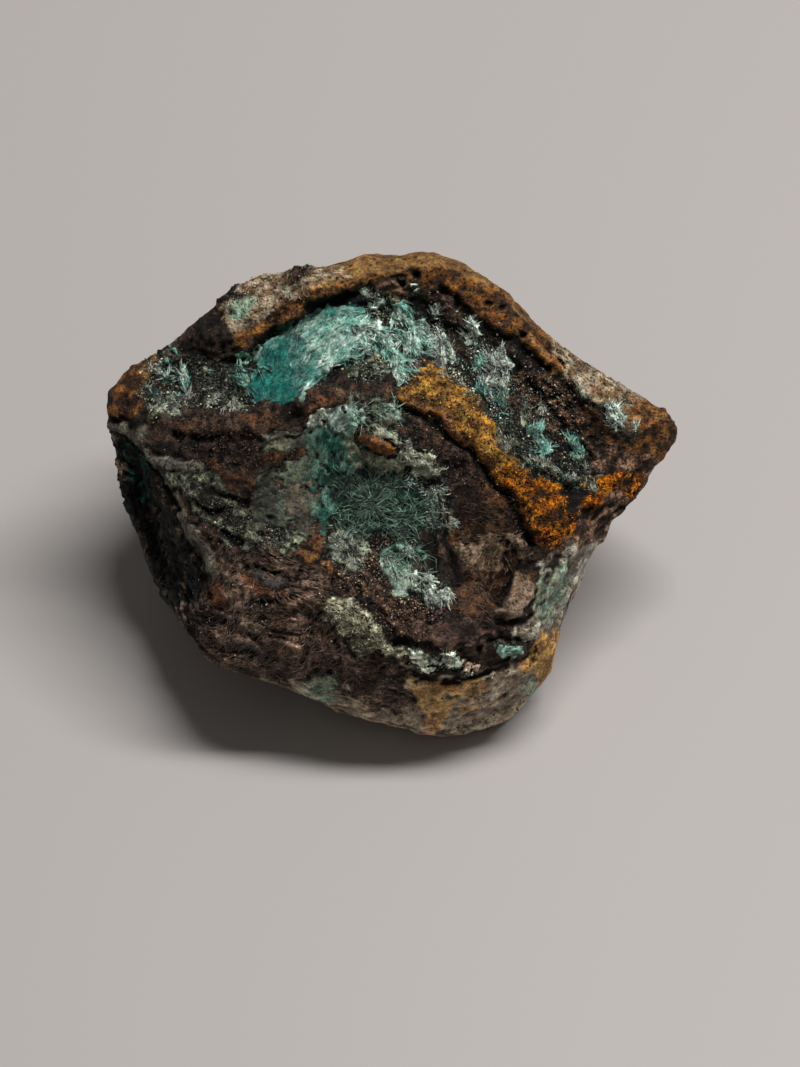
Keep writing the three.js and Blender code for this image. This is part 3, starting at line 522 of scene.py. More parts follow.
# The cracks and undercut ledges of the broken face: depth in mm, half width in plan units, and
# the line on the plan.
CRACKS = (
    (1.3, 4, drawn(226, 360, 246, 351, 264, 341, 282, 331, 302, 317, 324, 306, 346, 297, 366, 289)),
    (1, 4, drawn(440, 292, 456, 304, 472, 318, 492, 332, 512, 344, 534, 358, 550, 369, 562, 386,
        574, 400)),
    (1.6, 4, drawn(318, 386, 330, 378, 346, 368, 358, 362, 368, 350)),
    (1.4, 4, drawn(374, 344, 386, 354, 394, 368, 402, 382)),
    (1.3, 4, drawn(424, 352, 440, 363, 456, 376, 472, 390, 487, 407, 498, 424, 506, 446, 517, 462,
        532, 473, 550, 482, 568, 488)),
    (1.2, 4, drawn(396, 404, 420, 416, 446, 430, 468, 446, 486, 468, 502, 486, 514, 504, 522, 524,
        530, 546)),
    (1.1, 4, drawn(398, 668, 420, 676, 450, 680, 480, 672, 505, 664, 534, 654)),
    (0.7, 3, drawn(396, 644, 420, 646, 452, 646, 466, 652, 490, 640, 524, 640)),
    (1, 4, drawn(116, 440, 136, 444, 148, 456, 164, 480, 180, 500, 188, 530, 204, 575)),
    (0.7, 4, drawn(180, 436, 205, 440, 236, 438, 262, 442)),
    (0.9, 3, drawn(262, 452, 280, 442, 300, 434, 318, 424)),
    (0.9, 3, drawn(206, 486, 230, 496, 248, 500)),
    (0.45, 3, drawn(212, 604, 236, 600, 262, 604, 290, 600, 318, 590)),
    (0.45, 3, drawn(196, 640, 224, 650, 252, 656, 290, 662, 330, 672)),
    (1.2, 5, drawn(500, 622, 520, 622, 535, 612, 542, 594, 548, 574, 556, 558)),
    (1.2, 4, drawn(566, 520, 590, 512, 612, 508, 636, 500)),
    (0.4, 4, drawn(205, 585, 230, 608, 262, 616, 300, 610)),
    (0.5, 3, drawn(232, 572, 250, 566, 272, 570, 292, 580, 300, 566)),
    (0.6, 4, drawn(452, 500, 446, 524, 450, 552, 456, 580)),
    (0.8, 3, drawn(476, 582, 488, 594, 500, 606)),
)
# Single holes in the skin: depth in mm, half width, and place.
HOLES = (
    (1.6, 5, (232, 290)), (1, 4, (416, 274)), (1, 3, (402, 284)), (1.6, 6, (518, 336)),
    (1.2, 4, (560, 362)), (1, 3, (488, 300)), (1.4, 5, (158, 402)), (1, 2, (270, 520)),
    (0.8, 2, (262, 536)), (1, 3, (478, 648)), (1, 3, (502, 306)), (1.2, 3, (456, 300)),
)
# Knobs and bumps: height in mm, half width, and place.
KNOBS = (
    (2.1, 9, (225, 297)), (1.4, 8, (292, 270)), (1.2, 12, (212, 336)), (1.2, 7, (160, 588)),
    (1, 18, (480, 552)), (1.2, 9, (478, 647)), (0.7, 7, (500, 652)), (0.6, 6, (254, 500)),
)
EDGE_WANDER = ((5.0, 3.2), (2.2, 1.0))  # plan units that a line wanders, over how many mm


def wandered(points, amount=1.0):
    """Places on the plan, pushed about so that lines drawn through them wander."""
    x, y = plan_places(points)
    for layer, (reach, length) in enumerate(EDGE_WANDER):
        x = x + amount * reach * swells(points, length, 40 + layer)
        y = y + amount * reach * swells(points, length, 50 + layer)
    return x, y


def combed(points, angle=0.35):
    """Places in mm along and across strands that wave over the broken face, for what is finely
    fibrous: short along the strands, so that what is laid there is drawn out along them."""
    across, up, out = face_coordinates(points)
    angle = angle + 0.9 * swells(points, 9.0, 21)
    bent = 0.9 * swells(points, 4.0, 22) + 0.35 * swells(points, 1.8, 24)
    along = across * np.cos(angle) + up * np.sin(angle)
    aside = up * np.cos(angle) - across * np.sin(angle) + bent
    return np.column_stack((along * 0.16, aside, out * 0.6))


def relief_kinds(points):
    """The textures that the rock has, each as heights from about -1 to 1."""
    nearest, _ = grains(points, 1.1, 11)
    pit_near, pit_size = grains(points, 0.9, 15)
    lump, lump_size = grains(points, 1.5, 19)
    _, up, out = face_coordinates(points)
    beds = (out * 0.5 + up * 0.8 + swells(points, 6.0, 23) * 1.6) / 1.6
    step = beds - np.floor(beds)
    ledges = 0.6 * smooth_step(0.0, 0.7, step) - 0.6 * smooth_step(0.85, 1.0, step)
    crumbly = 0.7 * rough(points, 2.2, 3, 31) + 0.5 - 1.1 * np.abs(rough(points, 1.5, 2, 36))
    pits = smooth_step(0.5, 0.15, pit_near) * (pit_size > 0.35)
    return {
        "crumbly": crumbly,
        "grainy": 1.1 - 2.2 * nearest + 0.35 * crumbly,
        "spongy": 0.9 * crumbly - 1.0 * pits,
        "fibrous": rough(combed(points) * (1.0, 1.2, 1.2), 1.0, 3, 25) + 0.5 * crumbly,
        "layered": ledges + 0.8 * crumbly,
        "skin": 0.7 * crumbly - 1.3 * pits * (pit_size > 0.86),
        "smooth": swells(points, 2.5, 33),
        "lumpy": (0.8 - 1.3 * lump * lump) * (0.5 + lump_size) + 0.4 * crumbly,
        "pocked": 0.8 * crumbly + 0.5 * lump_size - 0.8 * pits,
    }


def linear(colour):
    """A colour in linear light, from its values of 0 to 255."""
    share = np.array(colour, float) / 255
    return np.where(share <= 0.04045, share / 12.92, ((share + 0.055) / 1.055) ** 2.4)


class Finish:
    """What a surface looks like at each of its points, built up by laying patches over a base."""

    def __init__(self, points, finishes, base, veined=0.0):
        self.points = points
        self.finishes = finishes
        self.relief = {}
        count = len(points)
        self.colour = np.zeros((count, 3))
        self.roughness = np.zeros(count)
        self.uneven = np.zeros(count)
        self.rise = np.zeros(count)
        veins = smooth_step(0.16, 0.02, np.abs(rough(points, 2.8, 3, 67)))
        veins *= smooth_step(-0.2, 0.3, swells(points, 5.0, 68))
        self.shade = (1 + 0.42 * rough(points, 1.3, 3, 66)) * (1 - veined * veins)
        self.lay(base, np.ones(count))

    def patchy_colour(self, name, chosen):
        """A finish's colour at the chosen points, mixed from its two colours in patches."""
        colour, other, share, length, *_, uneven = self.finishes[name]
        unevenness = rough(self.points[chosen], length, 4, 60 + int(length * 10))
        edge = 0.9 * (1 - 2 * share)
        mixed = smooth_step(edge - 0.3, edge + 0.3, unevenness)[:, None]
        shade = 1 + uneven * (self.shade[chosen, None] - 1)
        return (linear(colour) * (1 - mixed) + linear(other) * mixed) * shade

    def lay(self, name, cover, chosen=None, rise=0):
        """Lays a finish over the chosen points, all of them if none are chosen."""
        chosen = np.arange(len(self.points)) if chosen is None else chosen
        kind, height, roughness, uneven = self.finishes[name][4:]
        share = cover[:, None]
        self.colour[chosen] = self.colour[chosen] * (1 - share) + self.patchy_colour(name, chosen) * share
        for values, new in ((self.roughness, roughness), (self.uneven, uneven), (self.rise, rise)):
            values[chosen] = values[chosen] * (1 - cover) + new * cover
        for other in self.relief.values():
            other[chosen] *= 1 - cover
        self.relief.setdefault(kind, np.zeros(len(self.points)))
        self.relief[kind][chosen] += height * cover

    def lay_patches(self, patches, x, y, shown):
        """Lays finishes by their outlines on the plan, where the surface is shown there."""
        for name, rise, ragged, outline in patches:
            chosen = close_by(x, y, outline, 3 * ragged)
            chosen = chosen[shown[chosen] > 0]
            depth = inside(x[chosen], y[chosen], outline)
            depth += ragged * rough(self.points[chosen], 1.6, 3, 70 + ragged)
            self.lay(name, smooth_step(-2, 2, depth) * shown[chosen], chosen, rise)


normals = surface.normals()
on_face = smooth_step(*FACE_SLOPE, normals @ OUT)
face_x, face_y = wandered(surface.points)

# Cracks, holes and knobs are pressed into the broken face or stand out of it.
pushed = np.zeros(len(surface.points))
for depth, half_width, line in CRACKS:
    chosen = close_by(face_x, face_y, line, 3 * half_width)
    away = near_line(face_x[chosen], face_y[chosen], line)
    pushed[chosen] -= depth * smooth_step(2.2 * half_width, 0, away)
for depth, half_width, (hole_x, hole_y) in HOLES:
    away = np.hypot(face_x - hole_x, face_y - hole_y)
    pushed -= depth * smooth_step(1.6 * half_width, 0.4 * half_width, away)
for height, half_width, (knob_x, knob_y) in KNOBS:
    pushed += height * smooth_step(1.8 * half_width, 0, np.hypot(face_x - knob_x, face_y - knob_y))
surface.points += (pushed * on_face - BED_SINK * covered)[:, None] * OUT

HIDDEN_PATCHES = (  # finish, how much of the hidden side it covers, size in mm, which unevenness
    ("gold skin", 0.55, 14, 81), ("rust skin", 0.62, 9, 84), ("dark rock", 0.68, 8, 87),
    ("ochre plate", 0.78, 7, 90), ("flecked skin", 0.74, 9, 93), ("verdigris", 0.86, 5, 96),
)
HIDDEN_EDGE = 0.05  # how softly they run into one another
finish = Finish(surface.points, FINISHES, "purple brown", veined=0.6)
for name, above, length, seed in HIDDEN_PATCHES:
    unevenness = 0.5 + 0.5 * rough(surface.points, length, 4, seed)
    finish.lay(name, smooth_step(above - HIDDEN_EDGE, above + HIDDEN_EDGE, unevenness) * (1 - on_face))
finish.lay_patches(STONE_PATCHES, face_x, face_y, on_face)

# The textures, and broader lumps under them, all of them lower under the crusts.
LUMP_HEIGHT, LUMP_LENGTH = 0.4, 4.0  # mm
LESS_UNDER_CRUSTS = 0.6
kinds = relief_kinds(surface.points)
height = LUMP_HEIGHT * rough(surface.points, LUMP_LENGTH, 3, 35) + finish.rise
for kind, amount in finish.relief.items():
    height += amount * kinds[kind]
surface.points += (height * (1 - LESS_UNDER_CRUSTS * covered))[:, None] * normals
surface.points[:, 2] = np.maximum(surface.points[:, 2], 0)

# The narrow hollows and the broad ones: rounds of smoothing that fill them, and their weights.
# How deep each point lies in them is its cavity, which the materials paint as shade.
CAVITIES = ((8, 1.0), (60, 0.45))
cavity = np.zeros(len(surface.points))
for rounds, weight in CAVITIES:
    filled = surface.smoothed(rounds)
    cavity += weight * ((filled - surface.points) * surface.normals()).sum(axis=1)

VALUE_NAMES = {"FLOAT": "value", "FLOAT_VECTOR": "vector", "FLOAT_COLOR": "color"}


def keep(mesh, name, values, kind="FLOAT"):
    """Keeps a number, a place or a colour for each point of a mesh, for its material to read."""
    if kind == "FLOAT_COLOR":
        values = np.column_stack((values, np.ones(len(values))))
    kept = mesh.attributes.new(name, kind, "POINT").data
    kept.foreach_set(VALUE_NAMES[kind], values.astype(np.float32).ravel())


stone_mesh.vertices.foreach_set("co", (surface.points * MM).ravel())
stone_mesh.polygons.foreach_set("use_smooth", np.ones(len(stone_mesh.polygons), bool))
stone_mesh.update()
relief = finish.relief
keep(stone_mesh, "tint", finish.colour, "FLOAT_COLOR")
keep(stone_mesh, "roughness", finish.roughness)
keep(stone_mesh, "cavity", cavity)
keep(stone_mesh, "pitted", np.minimum(1.8 * relief["spongy"] + 2.4 * relief["pocked"], 1))
keep(stone_mesh, "uneven", finish.uneven)
keep(stone_mesh, "fibrous", np.minimum(5 * relief["fibrous"], 1))
keep(stone_mesh, "combed", combed(surface.points), "FLOAT_VECTOR")
dust = np.zeros(len(surface.points))


class Nodes:
    """Adds and joins the nodes of one material or node group."""

    def __init__(self, tree):
        self.tree = tree

    def feed(self, socket, given):
        """Gives a socket a constant value or another node's output."""
        if isinstance(given, bpy.types.NodeSocket):
            self.tree.links.new(given, socket)
        else:
            socket.default_value = given

    def add(self, kind, given=None, **settings):
        """Adds a node with its settings, and with what its inputs are given."""
        node = self.tree.nodes.new(kind)
        for name, value in settings.items():
            setattr(node, name, value)
        for name, value in (given or {}).items():
            self.feed(node.inputs[name], value)
        return node

    def kept(self, name, output="Fac"):
        """What a mesh keeps under a name: a number, or with the output named a colour or place."""
        return self.add("ShaderNodeAttribute", attribute_name=name).outputs[output]

    def effect(self, group, given):
        """A node group placed with its inputs' values; returns its outputs."""
        return self.add("ShaderNodeGroup", given, node_tree=group).outputs

    def noise(self, place, scale, detail, roughness):
        """Cloudy unevenness from 0 to 1, its swells finer as the scale rises; returns its outputs."""
        given = {"Vector": place, "Scale": scale, "Detail": detail, "Roughness": roughness}
        return self.add("ShaderNodeTexNoise", given).outputs

    def value(self, operation, *numbers):
        """A Math node over numbers or other nodes' outputs; returns its output."""
        return self.add("ShaderNodeMath", dict(enumerate(numbers)), operation=operation).outputs[0]

    def ramp(self, value, low, high):
        """0 where a value is below `low`, 1 above `high`."""
        given = {"Value": value, "From Min": low, "From Max": high}
        return self.add("ShaderNodeMapRange", given).outputs[0]

    def mix(self, share, first, second):
        """A mix of two colours."""
        return self.add("ShaderNodeMix", {0: share, 6: first, 7: second}, data_type="RGBA").outputs[2]

    def scaled(self, colour, light):
        """A colour made lighter or darker."""
        given = {0: colour, "Scale": light}
        return self.add("ShaderNodeVectorMath", given, operation="SCALE").outputs[0]

    def bump(self, height, strength, distance):
        """Normals bent by a height, over a distance in m."""
        given = {"Height": height, "Strength": strength, "Distance": distance}
        return self.add("ShaderNodeBump", given).outputs["Normal"]


def node_group(name, inputs, outputs):
    """An empty shader node group with named sockets, its Nodes, and what it is given and puts out."""
    group = bpy.data.node_groups.new(name, "ShaderNodeTree")
    for socket_name, kind, default in inputs:
        socket = group.interface.new_socket(socket_name, in_out="INPUT", socket_type="NodeSocket" + kind)
        socket.default_value = default
    for socket_name, kind in outputs:
        group.interface.new_socket(socket_name, in_out="OUTPUT", socket_type="NodeSocket" + kind)
    nodes = Nodes(group)
    return group, nodes, nodes.add("NodeGroupInput").outputs, nodes.add("NodeGroupOutput").inputs


# Mineral grain: a colour made uneven in shade and hue by two sizes of grain, with black specks where
# the grain is coarse, painted shade in hollows and lighter on edges that stand out; and its height.
grain_group, nodes, given, made = node_group(
    "mineral grain",
    (("Colour", "Color", (0.5, 0.5, 0.5, 1)), ("Cavity", "Float", 0.0), ("Grain Scale", "Float", 1500.0),
     ("Contrast", "Float", 0.5), ("Black Specks", "Float", 0.5), ("Hollow Shade Strength", "Float", 4.0)),
    (("Colour", "Color"), ("Height", "Float")),
)
place = nodes.add("ShaderNodeTexCoord").outputs["Object"]
fine = nodes.noise(place, given["Grain Scale"], 4, 0.7)[0]
coarse = nodes.noise(place, nodes.value("MULTIPLY", given["Grain Scale"], 0.32), 3, 0.6)[0]
hue = nodes.noise(place, nodes.value("MULTIPLY", given["Grain Scale"], 0.5), 2, 0.5)[0]
swing = nodes.value("SUBTRACT", nodes.value("ADD", fine, coarse), 1.0)
swing = nodes.value("MULTIPLY", swing, given["Contrast"])
# Painted shade: the colour is darkened by how deep each point lies in its hollows.
hollow_shade = nodes.value("MULTIPLY", given["Cavity"], given["Hollow Shade Strength"])
hollow_shade = nodes.value("MINIMUM", nodes.value("MAXIMUM", hollow_shade, -0.6), 0.93)
black = nodes.value("MULTIPLY", nodes.ramp(fine, 0.44, 0.37), given["Black Specks"])
light = nodes.value("ADD", 1.0, nodes.value("MULTIPLY", swing, 2.0))
light = nodes.value("MAXIMUM", light, 0.12)
light = nodes.value("MULTIPLY", light, nodes.value("SUBTRACT", 1.0, hollow_shade))
light = nodes.value("MULTIPLY", light, nodes.value("SUBTRACT", 1.0, nodes.value("MULTIPLY", black, 0.8)))
tuned = nodes.add("ShaderNodeHueSaturation", {
    "Hue": nodes.ramp(hue, -5.2, 6.2),
    "Saturation": nodes.value("MULTIPLY_ADD", coarse, 0.5, 0.84),
    "Color": given["Colour"],
})
nodes.feed(made["Colour"], nodes.scaled(tuned.outputs[0], light))
relief = nodes.value("ADD", fine, nodes.value("MULTIPLY", coarse, 1.6))
nodes.feed(made["Height"], nodes.value("SUBTRACT", relief, nodes.value("MULTIPLY", black, 0.5)))

# Strands: how light or dark a combed fibre is, from about -1 to 1, along places kept by the mesh.
# On the crusts' satin this is painted sheen.
strand_group, nodes, given, made = node_group(
    "strands", (("Place", "Vector", (0, 0, 0)), ("Strand Scale", "Float", 4.0)), (("Light", "Float"),)
)
strand = nodes.noise(given["Place"], given["Strand Scale"], 4, 0.75)[0]
nodes.feed(made["Light"], nodes.value("MULTIPLY", nodes.value("SUBTRACT", strand, 0.5), 5.0))

# Specks: a mask of small separate grains, more of them where the amount is higher.
speck_group, nodes, given, made = node_group(
    "specks", (("Amount", "Float", 0.5), ("Grain Scale", "Float", 3000.0)), (("Mask", "Float"),)
)
place = nodes.add("ShaderNodeTexCoord").outputs["Object"]
cloud = nodes.noise(place, given["Grain Scale"], 3, 0.7)[0]
past = nodes.value("ADD", cloud, nodes.value("MULTIPLY", given["Amount"], 0.3))
nodes.feed(made["Mask"], nodes.ramp(past, 0.68, 0.75))

# Pitting: a mask of small pits, their outlines bent by a finer unevenness.
PIT_BEND = 0.0008  # m
pit_group, nodes, given, made = node_group(
    "pitting", (("Amount", "Float", 0.5), ("Pit Scale", "Float", 1500.0)), (("Mask", "Float"),)
)
place = nodes.add("ShaderNodeTexCoord").outputs["Object"]
bend = nodes.noise(place, 1500, 2, 0.5)["Color"]
pushed_place = nodes.add(
    "ShaderNodeVectorMath", {0: bend, 1: 3 * (PIT_BEND,), 2: place}, operation="MULTIPLY_ADD"
)
given_pits = {"Vector": pushed_place.outputs[0], "Scale": given["Pit Scale"]}
pits = nodes.add("ShaderNodeTexVoronoi", given_pits).outputs["Distance"]
nodes.feed(made["Mask"], nodes.value("MULTIPLY", nodes.ramp(pits, 0.45, 0.2), given["Amount"]))


def new_material(name):
    """A material, its Nodes, and its shader."""
    material = bpy.data.materials.new(name)
    material.use_nodes = True
    return material, Nodes(material.node_tree), material.node_tree.nodes["Principled BSDF"]


limonite, nodes, shader = new_material("limonite")
uneven = nodes.kept("uneven")
# The grain paints shade into the rock's hollows.
grain = nodes.effect(grain_group, {
    "Colour": nodes.kept("tint", "Color"),
    "Cavity": nodes.kept("cavity"),
    "Grain Scale": 2600,
    "Contrast": nodes.value("MULTIPLY_ADD", uneven, 1.3, 0.65),
    "Black Specks": nodes.value("SUBTRACT", uneven, 0.05),
    "Hollow Shade Strength": 4.2,
})
pits = nodes.effect(pit_group, {"Pit Scale": 2300, "Amount": nodes.kept("pitted")})["Mask"]
# Painted shade: the pits are painted near black.
pitted = nodes.mix(nodes.value("MULTIPLY", pits, 0.8), grain["Colour"], (0.02, 0.008, 0.003, 1))
dust_at = nodes.kept("dust")
specks = nodes.effect(speck_group, {"Grain Scale": 2200, "Amount": dust_at})["Mask"]
dusted = nodes.mix(nodes.value("MULTIPLY", specks, dust_at), pitted, (0.22, 0.28, 0.22, 1))
# Painted highlights: pale specks mixed into the colour for glints.
glints = nodes.effect(speck_group, {"Grain Scale": 3600, "Amount": 0.1})["Mask"]
glinting = nodes.mix(nodes.value("MULTIPLY", glints, 0.4), dusted, (0.42, 0.38, 0.32, 1))
strands = nodes.effect(strand_group, {"Place": nodes.kept("combed", "Vector")})["Light"]
strand_light = nodes.value("MULTIPLY", strands, nodes.kept("fibrous"))
light = nodes.value("MAXIMUM", nodes.value("ADD", strand_light, 1.0), 0.15)
height = nodes.value("SUBTRACT", grain["Height"], nodes.value("MULTIPLY", pits, 0.9))
height = nodes.value("ADD", height, nodes.value("MULTIPLY", strand_light, 0.5))
nodes.feed(shader.inputs["Base Color"], nodes.scaled(glinting, light))
nodes.feed(shader.inputs["Roughness"], nodes.kept("roughness"))
nodes.feed(shader.inputs["Normal"], nodes.bump(height, 1.0, 0.0005))
shader.inputs["Specular IOR Level"].default_value = 0.28

stone_mesh.materials.append(limonite)
stone = placed("limonite_stone", stone_mesh)
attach(stone, "root")
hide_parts("limonite_nodule")


# ---- The crust of the upper hollow --------------------------------------------------------------
# A mat of satiny aurichalcite under the upper lip, grown in place: fibres laid one over another
# from lower left to upper right, deep teal at the left, with white bladed tufts at the right.

CRUST_CELL = 0.2  # mm, the spacing of a crust's own surface
CRUST_FOOT = 0.9  # mm that a crust's underside lies in the rock
CRUST_SUNK = 0.3  # mm that it lies under the rock where it has thinned out
DUST_REACH = 8  # plan units round a crust that have dust of its crystals on them
DUST_MOST = 0.5  # the share of the rock that is dusty at a crust's edge
NEEDLE_ROUGHNESS = 0.28
BARE = 2.0  # the gaps of a growth that leaves the rock bare
BED_REACH = 8  # plan units that a crust's grid reaches past its outlines
SHEET_EDGE = 0.02  # the least cover that still has a sheet
STEEPEST = 2.4  # mm that the sheet may drop across one of its cells
# The crust's hollows, which its material paints as shade, as for the rock.
CRUST_CAVITIES = ((5, 0.6), (30, 0.4))  # as for the rock, on the crust's own grid
MOST_TRIES = 40  # rounds of looking for places that have crust

stone_faces = BVHTree.FromPolygons(surface.points.tolist(), surface.triangles.tolist())

# The crusts' own finishes, in the same order as the rock's.
CRUST_FINISHES = {
    "deep teal": ((24, 92, 86), (48, 126, 114), 0.5, 1.4, "satin", 0.14, 0.35, 0.8),
    "bright teal": ((130, 184, 170), (178, 214, 201), 0.5, 1.2, "satin", 0.16, 0.35, 0.6),
    "mid teal": ((104, 134, 120), (38, 60, 52), 0.5, 0.8, "tufted", 0.35, 0.4, 1.2),
    "dark teal": ((12, 46, 40), (24, 58, 51), 0.5, 1.2, "satin", 0.16, 0.4, 1),
    "deep green": ((26, 84, 75), (104, 138, 122), 0.5, 1.4, "satin", 0.16, 0.35, 0.9),
    "pale satin": ((122, 170, 158), (64, 128, 116), 0.45, 1.6, "satin", 0.16, 0.35, 0.6),
    "pale mint": ((220, 240, 228), (162, 200, 184), 0.5, 1.4, "satin", 0.2, 0.4, 0.8),
    "white tuft": ((192, 209, 193), (60, 80, 72), 0.5, 0.8, "tufted", 0.4, 0.45, 1.2),
    "green white": ((130, 134, 112), (34, 40, 33), 0.5, 0.6, "tufted", 0.4, 0.5, 1.5),
    "green felt": ((22, 50, 42), (4, 12, 10), 0.5, 0.7, "tufted", 0.3, 0.5, 1.5),
    "grey felt": ((82, 82, 66), (42, 43, 33), 0.45, 0.9, "rounded", 0.16, 0.5, 1.3),
    "pale felt": ((174, 174, 150), (114, 116, 96), 0.45, 1.2, "rounded", 0.14, 0.45, 1),
    "green skin": ((70, 78, 60), (40, 42, 33), 0.5, 2.6, "smooth", 0.14, 0.35, 1.2),
    "brown skin": ((77, 71, 57), (48, 45, 34), 0.45, 2.2, "smooth", 0.14, 0.35, 1.2),
    "pale green skin": ((142, 156, 140), (106, 124, 110), 0.4, 1.4, "smooth", 0.14, 0.35, 0.6),
    "bright bead": ((234, 238, 219), (134, 150, 134), 0.45, 0.6, "tufted", 0.3, 0.4, 1.1),
    "pink bead": ((226, 202, 180), (172, 146, 128), 0.45, 0.7, "tufted", 0.3, 0.35, 0.8),
    "rust lump": ((132, 86, 50), (58, 36, 23), 0.45, 0.7, "rounded", 0.3, 0.55, 1.2),
}


def crust_relief(points, angle):
    """The textures that a crust has, each as heights from about -1 to 1. The satin's ridges run
    at an angle on the face."""
    across, up, out = face_coordinates(points)
    along = across * math.cos(angle) + up * math.sin(angle)
    aside = up * math.cos(angle) - across * math.sin(angle) + 0.6 * swells(points, 4.0, 101)
    ridges = np.column_stack((along / 2.4, aside / 0.45, out / 2.0))
    tuft, tuft_size = grains(points, 0.85, 103)
    lump, lump_size = grains(points, 1.6, 107)
    return {
        "satin": rough(ridges, 1.0, 2, 105) + 0.8 * swells(points, 2.2, 109),
        "tufted": (1.0 - 1.9 * tuft) * (0.4 + tuft_size) + 0.5 * rough(points, 1.2, 3, 111),
        "rounded": (0.8 - 1.3 * lump * lump) * (0.5 + lump_size),
        "smooth": rough(points, 2.4, 3, 113),
    }


def off_plan(x, y):
    """How far across and up from the face's middle places on the plan lie, in mm."""
    return np.column_stack((x - PLAN_MIDDLE[0], PLAN_MIDDLE[1] - y)) * PLAN_UNIT


class Bed:
    """A grid square to the broken face that knows the rock's height and colour under it, and
    holds the dice that its needles are thrown with."""

    def __init__(self, outlines, seed):
        self.dice = np.random.default_rng(seed)
        left, top, right, bottom = extent(np.concatenate(outlines), BED_REACH)
        self.low, high = off_plan(np.array((left, right)), np.array((bottom, top)))
        self.columns, self.rows = np.ceil((high - self.low) / CRUST_CELL).astype(int) + 1
        across = self.low[0] + CRUST_CELL * np.arange(self.columns)
        up = self.low[1] + CRUST_CELL * np.arange(self.rows)
        across, up = (grid.ravel() for grid in np.meshgrid(across, up))
        self.find_rock(across, up)
        self.height = (self.rock - FACE_MIDDLE) @ OUT
        self.cover = self.on_rock.astype(float)

    def find_rock(self, across, up):
        """Finds the rock's points and colours square under places on the face."""
        starts = FACE_MIDDLE + np.outer(across, ACROSS) + np.outer(up, UP) + CLEAR_OF_ROCK * OUT
        self.rock = np.empty_like(starts)
        self.on_rock = np.ones(len(starts), bool)
        corners = np.zeros(len(starts), int)
        down = Vector(-OUT)
        for i, start in enumerate(starts):
            hit, _, face, _ = stone_faces.ray_cast(Vector(start), down)
            if hit is None:
                hit = Vector(start) + down * 2 * CLEAR_OF_ROCK
                self.on_rock[i] = False
            else:
                corners[i] = surface.triangles[face][0]
            self.rock[i] = hit
        self.colour = finish.colour[corners]

    def sampled(self, values, across, up):
        """Values of the grid at places on the face, blended between its points."""
        column = np.clip((across - self.low[0]) / CRUST_CELL, 0, self.columns - 1.001)
        row = np.clip((up - self.low[1]) / CRUST_CELL, 0, self.rows - 1.001)
        i, j = column.astype(int), row.astype(int)
        s, t = (column - i)[:, None], (row - j)[:, None]
        grid = values.reshape(self.rows, self.columns, -1)
        return (
            grid[j, i] * (1 - s) * (1 - t) + grid[j, i + 1] * s * (1 - t)
            + grid[j + 1, i] * (1 - s) * t + grid[j + 1, i + 1] * s * t
        )

    def over(self, places, lift):
        """Points that stand `lift` above the surface at places on the face."""
        out = self.sampled(self.height, *places.T)[:, 0] + lift
        return FACE_MIDDLE + places @ np.array((ACROSS, UP)) + np.outer(out, OUT)

    def places_in(self, outline, count, ragged):
        """Random places on the face inside an outline on the plan, where the crust has grown."""
        left, top, right, bottom = extent(outline, ragged)
        found = []
        total = 0
        while total < count and len(found) < MOST_TRIES:
            x = self.dice.uniform(left, right, 2 * count)
            y = self.dice.uniform(top, bottom, 2 * count)
            places = off_plan(x, y)
            kept = inside(x, y, outline) > -ragged * self.dice.random(2 * count)
            kept &= self.sampled(self.cover, *places.T)[:, 0] > 0.3 + 0.3 * self.dice.random(2 * count)
            found.append(places[kept])
            total += kept.sum()
        return np.concatenate(found)[:count]


